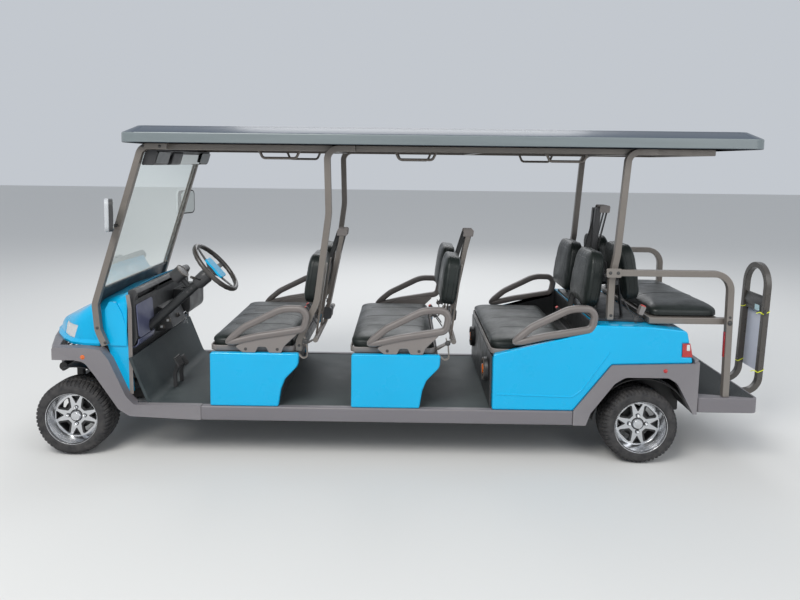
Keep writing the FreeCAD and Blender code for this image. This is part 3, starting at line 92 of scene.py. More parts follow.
def bent(points, radii, steps=8):
    """Straight runs whose corners are arcs, each swept from one tangent point to the other."""
    points = [np.array(p, float) for p in points]
    run = [points[0][None]]
    for before, point, after, radius in zip(points, points[1:], points[2:], radii):
        a, b = unit(before - point), unit(after - point)
        half = math.acos(float(np.clip(a @ b, -1, 1))) / 2
        if radius <= 0 or half > 1.55:
            run.append(point[None])
            continue
        centre = point + unit(a + b) * radius / math.sin(half)
        start = point + a * radius / math.tan(half) - centre
        end = point + b * radius / math.tan(half) - centre
        sweep = math.pi - 2 * half
        t = np.linspace(0, 1, steps + 1)[:, None]
        run.append(centre + (start * np.sin((1 - t) * sweep) + end * np.sin(t * sweep)) / math.sin(sweep))
    run.append(points[-1][None])
    return np.concatenate(run)


def outline(corners, steps=6):
    """A closed outline of (a, b, corner radius), its corners rounded."""
    seam = (np.array(corners[0][:2]) + np.array(corners[-1][:2])) / 2
    points = [seam] + [c[:2] for c in corners] + [seam]
    return bent(points, [c[2] if len(c) > 2 else 0.0 for c in corners], steps)[:-1]


def block(a, b, radius=0.0, steps=6):
    """A rectangle between two values of a and two of b. A pair of radii is for a's low and high end."""
    low, high = radius if isinstance(radius, tuple) else (radius, radius)
    return outline([(a[0], b[0], low), (a[1], b[0], high), (a[1], b[1], high), (a[0], b[1], low)], steps)


def tapered(low, high):
    """An outline even about the middle, from two levels of (half width, level, corner radius)."""
    (a, b, first), (c, d, second) = low, high
    return outline([(-a, b, first), (a, b, first), (c, d, second), (-c, d, second)])


def plate(edge, plane, start, end):
    """An outline given thickness between two levels of the plane's normal."""
    first, second, normal = {"xz": (0, 2, 1), "xy": (0, 1, 2), "yz": (1, 2, 0)}[plane]
    points = np.zeros((2, len(edge), 3))
    points[..., first] = edge[:, 0]
    points[..., second] = edge[:, 1]
    points[0, :, normal] = start
    points[1, :, normal] = end
    return grid(points)


def circle(radius, count=16):
    """A round section."""
    t = np.arange(count) / count * 2 * math.pi
    return np.stack([np.cos(t), np.sin(t)], -1) * radius


def oblong(width, height, radius, steps=3):
    """A rectangular section with rounded corners."""
    return block((-width / 2, width / 2), (-height / 2, height / 2), radius, steps)


def carried(path, section, sideways=(0.0, 1.0, 0.0), closed=False, size=None):
    """A section carried along a path: its first axis stays sideways, its second stays square to both."""
    path = np.asarray(path, float)
    ahead = np.roll(path, -1, 0) - path
    behind = np.roll(ahead, 1, 0)
    if not closed:
        ahead[-1], behind[0] = behind[-1], ahead[0]
    tangent = unit(unit(ahead) + unit(behind))
    side = np.broadcast_to(np.asarray(sideways, float), tangent.shape)
    side = unit(side - (side * tangent).sum(-1, keepdims=True) * tangent)
    rise = np.cross(tangent, side)
    size = np.ones(len(path)) if size is None else np.asarray(size)
    a = section[None, :, :1] * size[:, None, None]
    b = section[None, :, 1:] * size[:, None, None]
    return grid(path[:, None] + side[:, None] * a + rise[:, None] * b, along=closed)


def strap(points, width, thick, radii=(0.02,), across=(0.0, 1.0, 0.0)):
    """A flat belt along a path, with a radius for each corner of it."""
    return carried(bent(points, radii, 6), oblong(width, thick, thick * 0.45, 2), across)


def turned(profile, centre, axis, steps=64, loop=True):
    """A profile of (radius, distance) turned round an axis. An open profile starts and ends on the axis."""
    axis = unit(axis)
    side = unit(np.cross(axis, (0.0, 0.0, 1.0) if abs(axis[2]) < 0.9 else (1.0, 0.0, 0.0)))
    angle = np.arange(steps) / steps * 2 * math.pi
    spoke = np.cos(angle)[:, None] * side + np.sin(angle)[:, None] * np.cross(axis, side)
    profile = np.asarray(profile, float)
    points = np.asarray(centre) + profile[:, 1, None, None] * axis + profile[:, 0, None, None] * spoke
    return grid(points, along=loop, caps=False)


def lathed(profile, centre, axis, steps=48):
    """A solid turned from an open profile."""
    return turned(profile, centre, axis, steps, loop=False)


def bolt(at, axis=LEFT, radius=0.009, rise=0.006):
    """A domed bolt head on a washer."""
    washer = [(0, -0.001), (1.5 * radius, -0.001), (1.5 * radius, 0.0012), (radius, 0.0014)]
    return lathed(washer + [(radius, 0.55 * rise), (0.7 * radius, 0.9 * rise), (0, rise)], at, axis, 24)


def round_lens(at, radius, rise):
    """A small domed lens on a flat rim, facing left."""
    rim = [(0, -0.002), (1.25 * radius, -0.002), (1.25 * radius, 0.0015), (radius, 0.002)]
    return lathed(rim + [(0.85 * radius, 0.75 * rise), (0.45 * radius, rise), (0, 1.05 * rise)], at, LEFT, 28)


def smooth_line(points, count):
    """A Catmull-Rom curve through points, sampled evenly in its parameter."""
    points = np.asarray(points, float)
    ends = np.concatenate([2 * points[:1] - points[1:2], points, 2 * points[-1:] - points[-2:-1]])
    t = np.linspace(0, len(points) - 1, count)
    i = np.minimum(t.astype(int), len(points) - 2)
    u = (t - i)[:, None]
    p0, p1, p2, p3 = (ends[i + k] for k in range(4))
    return 0.5 * (
        2 * p1 + (p2 - p0) * u + (2 * p0 - 5 * p1 + 4 * p2 - p3) * u**2 + (3 * p1 - p0 - 3 * p2 + p3) * u**3
    )


def even_outline(edge, pitch):
    """A closed outline sampled evenly along its length."""
    loop = np.concatenate([edge, edge[:1]])
    run = np.concatenate([[0], np.cumsum(np.linalg.norm(np.diff(loop, axis=0), axis=1))])
    count = int(run[-1] / pitch)
    at = np.arange(count) * run[-1] / count
    return np.stack([np.interp(at, run, loop[:, 0]), np.interp(at, run, loop[:, 1])], -1)


def moved(form, matrix):
    """A form turned and shifted by a 4 x 4 matrix."""
    points, faces = form
    m = np.array(matrix)
    return points @ m[:3, :3].T + m[:3, 3], faces


def leaning(form, x, z, slope):
    """A form drawn upright, set at x where its height is z and shifted by the slope above and below."""
    points, faces = form
    shift = x + (points[:, 2] - z) * slope
    return points + np.stack([shift, 0 * shift, 0 * shift], -1), faces


def both(forms):
    """Forms for the left side, with their counterparts on the cart's right side."""
    return forms + [(points * (1, -1, 1), faces) for points, faces in forms]


# Pieces


def linked(name, data):
    """An object in the scene."""
    made = bpy.data.objects.new(name, data)
    bpy.context.scene.collection.objects.link(made)
    return made


def meshed(name, points, faces):
    """A mesh from points and rows of point numbers."""
    mesh = bpy.data.meshes.new(name)
    mesh.from_pydata(points.tolist(), [], faces)
    return mesh


def merged(mesh, distance, whole=False):
    """A mesh with its doubles merged, then its flat faces made whole or else its faces turned outwards."""
    work = bmesh.new()
    work.from_mesh(mesh)
    bmesh.ops.remove_doubles(work, verts=work.verts, dist=distance)
    if whole:
        bmesh.ops.dissolve_degenerate(work, edges=work.edges, dist=1e-5)
        bmesh.ops.dissolve_limit(work, angle_limit=math.radians(0.6), verts=work.verts, edges=work.edges)
    else:
        bmesh.ops.recalc_face_normals(work, faces=work.faces)
    work.to_mesh(mesh)
    work.free()


def shown(name, mesh, finish, body, stands_for, sharp):
    """A mesh shaded smooth up to an angle, with its materials, on its body and standing for CAD nodes."""
    mesh.shade_smooth()
    mesh.set_sharp_from_angle(angle=math.radians(sharp))
    for material in finish if isinstance(finish, list) else [finish]:
        mesh.materials.append(material)
    made = linked(name, mesh)
    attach(made, body)
    if stands_for:
        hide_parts(*stands_for)
    return made


def rounding(made, width, segments=2, clamped=True):
    """Rounded edges on every corner sharper than 30 degrees."""
    modifier = made.modifiers.new("rounded edges", "BEVEL")
    modifier.width = width
    modifier.segments = segments
    modifier.limit_method = "ANGLE"
    modifier.angle_limit = math.radians(30)
    modifier.use_clamp_overlap = clamped
    modifier.harden_normals = True


def piece(name, finish, forms, body="chassis", stands_for=(), sharp=40.0, bevel=0.0):
    """One object out of forms."""
    faces, start = [], 0
    for points, blocks in forms:
        faces += [row for rows in blocks for row in (rows + start).tolist()]
        start += len(points)
    mesh = meshed(name, np.concatenate([points for points, blocks in forms]), faces)
    merged(mesh, 1e-6)
    made = shown(name, mesh, finish, body, stands_for, sharp)
    if bevel:
        rounding(made, bevel)
    return made


def softened(node, finish, width=0.0, segments=2, chosen=None, clamped=False):
    """A CAD node's own form with its flat faces made whole and its edges rounded.
    chosen gives each face its material from its centre and normal."""
    source = nodes[node].data
    points = np.empty(len(source.vertices) * 3, np.float32)
    source.vertices.foreach_get("co", points)
    faces = np.empty(len(source.polygons) * 3, np.int32)
    source.polygons.foreach_get("vertices", faces)
    mesh = meshed(node + "_finished", points.reshape(-1, 3), faces.reshape(-1, 3).tolist())
    merged(mesh, 2e-5, whole=True)
    made = shown(node + "_finished", mesh, finish, BODY_OF[node], [node], 32.0)
    if chosen:
        centres = np.array([face.center for face in mesh.polygons])
        normals = np.array([face.normal for face in mesh.polygons])
        mesh.polygons.foreach_set("material_index", chosen(centres, normals).astype(np.int32))
    if width:
        rounding(made, width, segments, clamped)


# Materials


def shader(name, colour, roughness=0.5, metallic=0.0, **settings):
    """A material with one Principled shader: its nodes, the shader and the object coordinates."""
    material = bpy.data.materials.new(name)
    material.use_nodes = True
    tree = material.node_tree
    principled = tree.nodes["Principled BSDF"]
    principled.inputs["Base Color"].default_value = (*colour, 1.0)
    principled.inputs["Roughness"].default_value = roughness
    principled.inputs["Metallic"].default_value = metallic
    for socket, value in settings.items():
        principled.inputs[socket.replace("_", " ")].default_value = value
    place = tree.nodes.new("ShaderNodeTexCoord").outputs["Object"]
    return material, tree, principled, place


def added(tree, kind, place=None, **values):
    """A shader node with its inputs set, read at a place."""
    node = tree.nodes.new("ShaderNode" + kind)
    for socket, value in values.items():
        node.inputs[socket].default_value = value
    if place is not None:
        tree.links.new(place, node.inputs["Vector"])
    return node


def stretched(tree, place, scale):
    """The place scaled differently along each axis."""
    return added(tree, "Mapping", place, Scale=scale).outputs["Vector"]


def noise(tree, place, scale, detail=3.0, roughness=0.55):
    """Fractal noise read at a place."""
    return added(tree, "TexNoise", place, Scale=scale, Detail=detail, Roughness=roughness).outputs["Fac"]


def ribs(tree, place, direction, pitch):
    """A wave across one axis whose ridges are a pitch apart."""
    node = added(tree, "TexWave", place, Scale=math.pi / (10.0 * pitch))
    node.bands_direction = direction
    node.wave_profile = "SIN"
    return node.outputs["Fac"]


def combined(tree, operation, first, second):
    """Two numbers put together."""
    node = tree.nodes.new("ShaderNodeMath")
    node.operation = operation
    tree.links.new(first, node.inputs[0])
    tree.links.new(second, node.inputs[1])
    return node.outputs["Value"]


def between(tree, factor, low, high, start=0.35, end=0.65):
    """A number that runs from low to high as the factor runs from start to end."""
    node = tree.nodes.new("ShaderNodeMapRange")
    for socket, value in (("From Min", start), ("From Max", end), ("To Min", low), ("To Max", high)):
        node.inputs[socket].default_value = value
    tree.links.new(factor, node.inputs["Value"])
    return node.outputs["Result"]


def tinted(tree, factor, first, second):
    """A colour that runs from the first, which may be a node's, to the second with the factor."""
    node = tree.nodes.new("ShaderNodeMix")
    node.data_type = "RGBA"
    if isinstance(first, tuple):
        node.inputs["A"].default_value = (*first, 1.0)
    else:
        tree.links.new(first, node.inputs["A"])
    node.inputs["B"].default_value = (*second, 1.0)
    tree.links.new(factor, node.inputs["Factor"])
    return node.outputs["Result"]


def coloured(tree, principled, factor, first, second):
    """The shader's colour, running between two with the factor."""
    tree.links.new(tinted(tree, factor, first, second), principled.inputs["Base Color"])


def polished(tree, principled, factor, low, high, start=0.35, end=0.65):
    """The shader's roughness, running between two with the factor."""
    tree.links.new(between(tree, factor, low, high, start, end), principled.inputs["Roughness"])


def relief(tree, principled, height, distance, strength=0.6):
    """Bump of a given depth in metres."""
    node = added(tree, "Bump", Distance=distance, Strength=strength)
    tree.links.new(height, node.inputs["Height"])
    tree.links.new(node.outputs["Normal"], principled.inputs["Normal"])


def gel_coat():
    """Azure gel coat: faint shade drift, uneven gloss, slight orange peel, a hard clear layer."""
    material, tree, principled, place = shader(
        "azure gel coat", (0.0, 0.40, 0.72), 0.34,
        Coat_Weight=0.5, Coat_Roughness=0.05, Specular_IOR_Level=0.2,
    )
    coloured(tree, principled, noise(tree, place, 1.6, 2.0), (0.0, 0.37, 0.66), (0.0, 0.42, 0.75))
    polished(tree, principled, noise(tree, place, 9.0, 4.0), 0.26, 0.38)
    relief(tree, principled, noise(tree, place, 55.0, 1.0), 0.0006, 0.16)
    return material


def grained(name, dark, light, roughness, grain=420.0, depth=0.0002, metallic=0.0, worn=None):
    """Moulded or powder-coated finish: fine grain, cloudy shade, uneven gloss. worn is the colour of its
    convex edges, found by the mesh's own curvature."""
    material, tree, principled, place = shader(name, dark, roughness, metallic)
    shade = tinted(tree, noise(tree, place, 3.0, 4.0), dark, light)
    if worn:
        curvature = tree.nodes.new("ShaderNodeNewGeometry").outputs["Pointiness"]
        shade = tinted(tree, between(tree, curvature, 0.0, 1.0, 0.505, 0.56), shade, worn)
    tree.links.new(shade, principled.inputs["Base Color"])
    polished(tree, principled, noise(tree, place, 14.0, 4.0), roughness - 0.06, roughness + 0.08)
    relief(tree, principled, noise(tree, place, grain, 2.0), depth)
    return material


def roof_gloss(name, dark, light, roughness):
    """Thermoformed sheet: a shade that drifts in streaks along its length, and long soft waves."""
    material, tree, principled, place = shader(name, dark, roughness, Coat_Weight=0.5, Coat_Roughness=0.2)
    streaks = noise(tree, stretched(tree, place, (1.0, 6.0, 14.0)), 1.4, 3.0)
    coloured(tree, principled, streaks, dark, light)
    relief(tree, principled, noise(tree, stretched(tree, place, (2.0, 4.0, 4.0)), 3.0, 1.0), 0.002, 0.1)
    return material


def hide(name, dark, light, roughness=0.36):
    """Leatherette: pebbled cells over long shallow creases, with clouds of gloss."""
    material, tree, principled, place = shader(
        name, dark, roughness, Sheen_Weight=0.02, Sheen_Roughness=0.5, Specular_IOR_Level=0.3
    )
    coloured(tree, principled, noise(tree, place, 5.0, 4.0), dark, light)
    polished(tree, principled, noise(tree, place, 7.0, 3.0), roughness - 0.07, roughness + 0.1)
    pebbles = added(tree, "TexVoronoi", place, Scale=620.0).outputs["Distance"]
    creases = noise(tree, stretched(tree, place, (1.0, 0.5, 1.0)), 26.0, 4.0)
    relief(tree, principled, combined(tree, "ADD", pebbles, creases), 0.0007, 0.35)
    return material


def ribbed_mat():
    """Rubber mat: ribs running fore and aft, a scuffed grey film and small stains."""
    material, tree, principled, place = shader(
        "ribbed floor mat", (0.02, 0.027, 0.03), 0.6, Specular_IOR_Level=0.35
    )
    film = noise(tree, place, 2.2, 6.0, 0.65)
    scuffs = between(tree, film, 0.0, 1.0, 0.38, 0.66)
    coloured(tree, principled, scuffs, (0.024, 0.034, 0.038), (0.075, 0.09, 0.092))
    polished(tree, principled, film, 0.5, 0.72)
    relief(tree, principled, combined(tree, "ADD", ribs(tree, place, "Y", 0.011), film), 0.0016, 0.7)
    return material


def machined(name, colour, roughness):
    """Bright metal: a clouded shade, faint tool marks close together along the axle, uneven gloss."""
    material, tree, principled, place = shader(name, colour, roughness, 1.0)
    coloured(tree, principled, noise(tree, place, 8.0, 3.0), tuple(0.86 * c for c in colour), colour)
    relief(tree, principled, noise(tree, stretched(tree, place, (1.0, 6.0, 1.0)), 700.0, 2.0), 0.00001, 0.1)
    polished(tree, principled, noise(tree, place, 30.0, 4.0), roughness - 0.03, roughness + 0.05)
    return material


def sidewall_rubber():
    """Tyre rubber: a fine grain under a brown-grey film of dust in clouds."""
    material, tree, principled, place = shader(
        "tyre rubber", (0.02, 0.02, 0.021), 0.7, Specular_IOR_Level=0.3
    )
    dust = noise(tree, place, 22.0, 6.0, 0.7)
    film = between(tree, dust, 0.0, 1.0, 0.35, 0.7)
    coloured(tree, principled, film, (0.022, 0.022, 0.024), (0.07, 0.067, 0.066))
    polished(tree, principled, dust, 0.58, 0.85)
    relief(tree, principled, noise(tree, place, 500.0, 3.0), 0.0003, 0.5)
    return material


def webbing(name, dark, light):
    """Woven belt: a fine twill from two crossed waves."""
    material, tree, principled, place = shader(name, dark, 0.55, Sheen_Weight=0.25)
    twill = combined(tree, "MULTIPLY", ribs(tree, place, "DIAGONAL", 0.0032), ribs(tree, place, "Z", 0.0024))
    coloured(tree, principled, twill, dark, light)
    relief(tree, principled, twill, 0.0006, 0.7)
    return material


def lens(name, colour, glint_colour):
    """Moulded lamp lens: clear coloured plastic with small prisms behind it, painted brighter over the prisms
    as painted glints.
    """
    material, tree, principled, place = shader(
        name, colour, 0.12, Coat_Weight=1.0, Transmission_Weight=0.25, IOR=1.49
    )
    prisms = combined(tree, "MULTIPLY", ribs(tree, place, "X", 0.006), ribs(tree, place, "Z", 0.006))
    coloured(tree, principled, prisms, colour, glint_colour)
    relief(tree, principled, prisms, 0.001, 0.5)
    return material


def grip_tape():
    """Anti-slip tape: coarse black grit with a few bright grains."""
    material, tree, principled, place = shader("anti-slip tape", (0.015, 0.017, 0.018), 0.8)
    grit = noise(tree, place, 900.0, 2.0)
    grains = between(tree, grit, 0.0, 1.0, 0.55, 0.75)
    coloured(tree, principled, grains, (0.02, 0.024, 0.026), (0.10, 0.11, 0.11))
    relief(tree, principled, grit, 0.0012, 0.8)
    return material


def mirror_face():
    """Silvered glass under a thin green tint."""
    material, tree, principled, place = shader("mirror glass", (0.80, 0.83, 0.80), 0.03, 1.0)
    coloured(tree, principled, noise(tree, place, 12.0, 2.0), (0.74, 0.78, 0.75), (0.84, 0.86, 0.84))
    return material


def clear_sheet():
    """Clear acrylic with a faint green-grey tint and fine scratches."""
    material, tree, principled, place = shader(
        "clear acrylic", (0.90, 0.96, 0.93), 0.02, IOR=1.49, Transmission_Weight=1.0
    )
    scratches = noise(tree, stretched(tree, place, (14.0, 3.0, 1.0)), 30.0, 6.0, 0.8)
    polished(tree, principled, scratches, 0.0, 0.05, 0.60, 0.80)
    return material


blue_coat = gel_coat()
grey_trim = grained(
    "satin grey trim", (0.115, 0.108, 0.122), (0.15, 0.14, 0.155), 0.44, worn=(0.20, 0.19, 0.20)
)
taupe_trim = grained(
    "satin taupe trim", (0.125, 0.11, 0.105), (0.165, 0.148, 0.14), 0.42, worn=(0.22, 0.2, 0.19)
)
bronze_tube = grained(
    "bronze powder coat", (0.12, 0.102, 0.088), (0.155, 0.134, 0.118), 0.36,
    700.0, 0.0001, 0.3, (0.24, 0.22, 0.2),
)
black_trim = grained(
    "black moulded plastic", (0.012, 0.013, 0.014), (0.024, 0.025, 0.026), 0.42, worn=(0.05, 0.05, 0.052)
)
# Partly painted reflection: the dash slate's own tone is raised lighter and bluer for the sky it reflects.
slate_painted_sky = grained("slate plastic with painted sky tint", (0.10, 0.108, 0.185), (0.14, 0.15, 0.245), 0.34)
black_steel = grained("black chassis coat", (0.01, 0.01, 0.011), (0.025, 0.024, 0.023), 0.5, 300.0)
black_gloss = grained(
    "black hoop coat", (0.01, 0.01, 0.011), (0.02, 0.02, 0.021), 0.3, 500.0, worn=(0.10, 0.09, 0.08)
)
# Painted light: the roof's upright skirt is painted a lighter grey and its top a dark blue for the sky it
# reflects
roof_skirt_painted_light = roof_gloss("roof skirt painted lighter", (0.125, 0.15, 0.158), (0.18, 0.215, 0.225), 0.45)
roof_top_painted_sky = roof_gloss("roof top with painted sky tint", (0.018, 0.032, 0.055), (0.032, 0.052, 0.08), 0.42)
seat_hide = hide("black leatherette", (0.010, 0.014, 0.013), (0.020, 0.025, 0.0235))
seam_hide = hide("black seam piping", (0.010, 0.012, 0.012), (0.018, 0.021, 0.021), 0.3)
floor_rubber = ribbed_mat()
cast_steel = grained("cast steel", (0.06, 0.06, 0.062), (0.10, 0.098, 0.095), 0.55, 180.0, 0.0004, 0.6)
housing_grey = grained("grey housing", (0.16, 0.17, 0.175), (0.2, 0.21, 0.21), 0.4)
pale_shell = grained("pale grey shell", (0.42, 0.44, 0.46), (0.52, 0.54, 0.56), 0.28)
tyre_black = sidewall_rubber()
bright_alloy = machined("machined alloy", (0.72, 0.73, 0.75), 0.22)
dark_alloy = grained("dark wheel paint", (0.014, 0.014, 0.015), (0.03, 0.03, 0.031), 0.38)
chrome = machined("bright plated steel", (0.82, 0.83, 0.84), 0.12)
# Painted reflection: this lamp lens is painted pale and bright in place of a reflector behind it.
lens_painted_bright = lens("pale lamp lens painted bright", (0.72, 0.74, 0.74), (0.95, 0.95, 0.94))
lens_red = lens("red lamp lens", (0.45, 0.004, 0.006), (0.75, 0.03, 0.03))
lens_orange = lens("orange lamp lens", (0.75, 0.12, 0.01), (0.95, 0.28, 0.03))
clear_acrylic = clear_sheet()
mirror_glass = mirror_face()
belt_black = webbing("black belt webbing", (0.012, 0.013, 0.014), (0.045, 0.046, 0.048))
buckle_red = grained("red press button", (0.55, 0.02, 0.012), (0.7, 0.045, 0.03), 0.35)
tie_yellow = grained("yellow cable tie", (0.75, 0.80, 0.02), (0.85, 0.9, 0.06), 0.4)
board_white = grained("white plastic board", (0.58, 0.62, 0.74), (0.72, 0.75, 0.84), 0.45)
tag_blue = grained("pale blue tag", (0.45, 0.68, 0.75), (0.6, 0.8, 0.85), 0.5)
step_tape = grip_tape()


# CAD forms with their finishes


def roof_face_painted_light(centres, normals):
    """Roof faces by direction: upright skirt painted lighter grey, top painted dark sky-blue reflection."""
    return np.where(np.abs(normals[:, 2]) < 0.35, 0, 1)


WELL_HALF_WIDTH, WELL_FLOOR_Z, WELL_RIM_Z, WELL_BACK_X = 0.572, 0.60, 0.79, 1.088


def well_walls_painted_shade(centres, normals):
    """Faces lining the well behind the third bench, painted black as shade in the recess."""
    well = (np.abs(centres[:, 1]) < WELL_HALF_WIDTH) & (centres[:, 0] < WELL_BACK_X)
    well &= centres[:, 2] > WELL_FLOOR_Z
    upright = (np.abs(normals[:, 2]) < 0.9) | (centres[:, 2] < WELL_RIM_Z)
    return np.where(well & (normals[:, 0] < 0.2) & upright, 1, 0)


softened("front_cowl", blue_coat, 0.006, 3, clamped=True)
softened("seat_side_panels", blue_coat, 0.011, 4)
# The rear body is blue; the walls of the well behind the third bench are painted black as shade.
softened("rear_body", [blue_coat, black_trim], 0.010, 4, chosen=well_walls_painted_shade)
for node in ("sill_panels", "rear_step"):
    softened(node, grey_trim, 0.005, 3)
for node in ("front_fenders", "rear_fenders"):
    softened(node, grey_trim, 0.004, clamped=True)
for node in ("windscreen_struts", "roof_frame", "roof_posts", "grab_rails", "rear_seat_frame"):
    softened(node, bronze_tube, 0.004, 3)
softened("seat_back_frames", bronze_tube, 0.003, clamped=True)
softened("safety_hoop", black_gloss, 0.004)
for node in ("dashboard", "windscreen_lower_panel", "third_row_front_panel", "rear_deck", "overhead_console"):
    softened(node, black_trim, 0.004)
for node in ("wheel_liners", "seat_boxes", "steering_column", "pedals"):
    softened(node, black_trim, 0.002)
# The roof's colour follows each face's direction: painted light on the skirt, a painted sky reflection on the
# top.
softened("roof_shell", [roof_skirt_painted_light, roof_top_painted_sky], 0.006, 3, chosen=roof_face_painted_light)
for node in ("chassis_frame", "front_suspension"):
    softened(node, black_steel, 0.002)
softened("floor_deck", floor_rubber, 0.002)
for node in ("rear_axle", "knuckle_left", "knuckle_right", "tie_rod"):
    softened(node, cast_steel, 0.0015, clamped=True)
for node in ("drive_motor", "battery_pack"):
    softened(node, housing_grey, 0.003)
softened("side_mirrors", black_trim, 0.003)
# The headlamp lenses are painted pale and bright for the reflectors behind them: painted reflection.
softened("headlamps", lens_painted_bright, 0.002)
softened("tail_lamps", lens_red, 0.002)
softened("windscreen_glass", clear_acrylic, 0.0)


# Wheels

PITCHES = 54
STEPS_A_PITCH = 8
MIDDLE_RIB, RING_GROOVE, SHOULDER = 26.0, 31.0, 36.0  # mm from the middle of the tread
TREAD_EDGE_R = 0.2238
TREAD_END_R = 0.203
MOULDED_RINGS = (0.192, 0.168)
LIP_R = 0.128
FACE_DEPTH = 0.02


def bright_face(axle_x, outward):
    """Which faces of a rim are machined: the outer faces of spokes, ring and lip, seen from the kerb."""

    def chosen(centres, normals):
        depth = (centres[:, 1] * outward) - WHEEL_Y
        radius = np.hypot(centres[:, 0] - axle_x, centres[:, 2] - AXLE_Z)
        facing = normals[:, 1] * outward
        lip = (radius > LIP_R) & (depth > 0.0) & (facing > -0.2)
        return np.where(lip | ((facing > 0.8) & (depth > FACE_DEPTH)), 0, 1)

    return chosen


def notch(phase, flat, slope, depth):
    """A cut that comes once a pitch, where the phase is a half: full depth, and sides of a slope."""
    return np.clip(flat - np.abs(phase % 1.0 - 0.5) * slope, 0, 1) * depth


def tread_depth(turn, across):
    """How deep the rubber is cut, from the turn in pitches and the millimetres across the tread: two ring
    grooves, a chevron in the middle rib, lugs that alternate on the two shoulders with sipes between."""
    width = np.abs(across)
    ring = np.clip(1.6 - np.abs(width - RING_GROOVE) / 3.0, 0, 1) * 6.0
    chevron = notch(turn + width / 42.0, 1.6, 9.0, 4.5)
    slant = turn + width / 150.0
    shift = np.where(across > 0, 0.5, 0.0)
    lugs = np.maximum(notch(slant + shift, 1.9, 8.0, 6.5), notch(slant + (0.5 - shift), 1.2, 16.0, 2.5))
    depth = np.where(width < MIDDLE_RIB, chevron, np.where(width > SHOULDER, lugs, 0.0))
    return np.maximum(ring, depth) / 1000.0


def tyre_form(axle_x, outward):
    """A tyre: a closed outline of radius and width turned round the axle, with the tread cut square to it
    and two raised rings on each wall."""
    half = [(0.2280, 0.0), (0.2276, 0.030), (0.2264, 0.062)]
    half += [(TREAD_EDGE_R, 0.080), (0.2170, 0.0925), (0.2085, 0.1005)]
    wall = [(0.1980, 0.1050), (0.1850, 0.1068), (0.1700, 0.1060), (0.1610, 0.1015), (0.1535, 0.0960)]
    outer = np.concatenate([smooth_line(half, 27), smooth_line(half[-1:] + wall, 13)[1:]])
    outer = np.concatenate([outer[:0:-1] * (1, -1), outer])
    bore = [(0.158, 0.088), (0.200, 0.094), (0.212, 0.070), (0.212, -0.070), (0.200, -0.094), (0.158, -0.088)]
    inner = np.array(bore)
    run = np.roll(outer, -1, 0) - np.roll(outer, 1, 0)
    square = np.abs(unit(np.stack([run[:, 1], -run[:, 0]], -1)))
    square[:, 1] *= np.where(outer[:, 1] > 0, 1, -1)
    turn = np.arange(PITCHES * STEPS_A_PITCH) / STEPS_A_PITCH
    fade = np.clip((outer[:, 0] - TREAD_END_R) / 0.008, 0, 1)
    down = np.maximum(TREAD_EDGE_R - outer[:, 0], 0)
    arc = outer[:, 1] * 1000.0 + np.sign(outer[:, 1]) * down * 700.0
    depth = tread_depth(turn[None, :], arc[:, None]) * fade[:, None]
    moulded = sum(np.exp(-(((outer[:, 0] - ring) / 0.0022) ** 2)) for ring in MOULDED_RINGS)
    depth = depth - 0.0006 * moulded[:, None]
    radius = outer[:, 0][:, None] - depth * square[:, 0][:, None]
    across = outer[:, 1][:, None] - depth * square[:, 1][:, None]
    radius = np.concatenate([radius, np.repeat(inner[:, :1], len(turn), 1)])
    across = np.concatenate([across, np.repeat(inner[:, 1:], len(turn), 1)])
    angle = turn / PITCHES * 2 * math.pi
    points = np.stack([radius * np.cos(angle), across * outward, radius * np.sin(angle)], -1)
    return grid(points + (axle_x, WHEEL_Y * outward, AXLE_Z), along=True)


LUG_CIRCLE_R = 0.0508
NUT = [(0, 0.030), (0.0105, 0.030), (0.0105, 0.048), (0.0095, 0.050), (0, 0.050)]
NUT_DOME = [(0, 0.049), (0.0078, 0.049), (0.0072, 0.0535), (0.0045, 0.0565), (0, 0.0575)]
NUT_SEAT = [(0, 0.034), (0.0135, 0.034), (0.0135, 0.0372), (0, 0.0372)]
CAP_SEAT = [(0, 0.0350), (0.0385, 0.0350), (0.0385, 0.0372), (0, 0.0372)]
CAP = [
    (0, 0.034), (0.0322, 0.034), (0.0322, 0.0385), (0.0305, 0.0415), (0.0282, 0.0478), (0.0262, 0.0498),
    (0.0235, 0.0500), (0.0225, 0.0488), (0.0205, 0.0488), (0.0190, 0.0503), (0.0110, 0.0518), (0, 0.0522),
]
VALVE = [(0, 0), (0.005, 0), (0.0045, 0.022), (0.0035, 0.030), (0, 0.031)]
POCKETS = [
    # wide and narrow outline: corners (radius in mm, degrees from the fork's middle) and corner radius
    (
        ([(57, 30.5), (128, 18), (128, 72), (57, 59.5)], 0.009),
        ([(72, 34), (125, 24), (125, 66), (72, 56)], 0.008),
    ),
    (([(74, 0), (127, -13), (127, 13)], 0.004), ([(90, 0), (123, -11), (123, 11)], 0.001)),
]
POCKET_BACK, POCKET_FRONT = 0.0352, 0.0368


def pocket_frames(axle_x, outward):
    """Flat dark frames round the windows of a wheel's face, so the forked spokes read slim."""
    frames, middle = [], np.array((axle_x, AXLE_Z))
    for quarter in range(4):
        for pair in POCKETS:
            loops = []
            for corners, radius in pair:
                edge = []
                for r, degrees in corners:
                    angle = math.radians(90 * quarter + degrees)
                    at = middle + r / 1000 * np.array((math.cos(angle), math.sin(angle)))
                    edge.append((*at, radius))
                loops.append(outline(edge))
            wide, narrow = loops
            rows = [(wide, POCKET_BACK), (wide, POCKET_FRONT), (narrow, POCKET_FRONT), (narrow, POCKET_BACK)]
            sheet = [np.insert(row, 1, outward * (WHEEL_Y + out), axis=1) for row, out in rows]
            frames.append(grid(np.stack(sheet), along=True))
    return frames


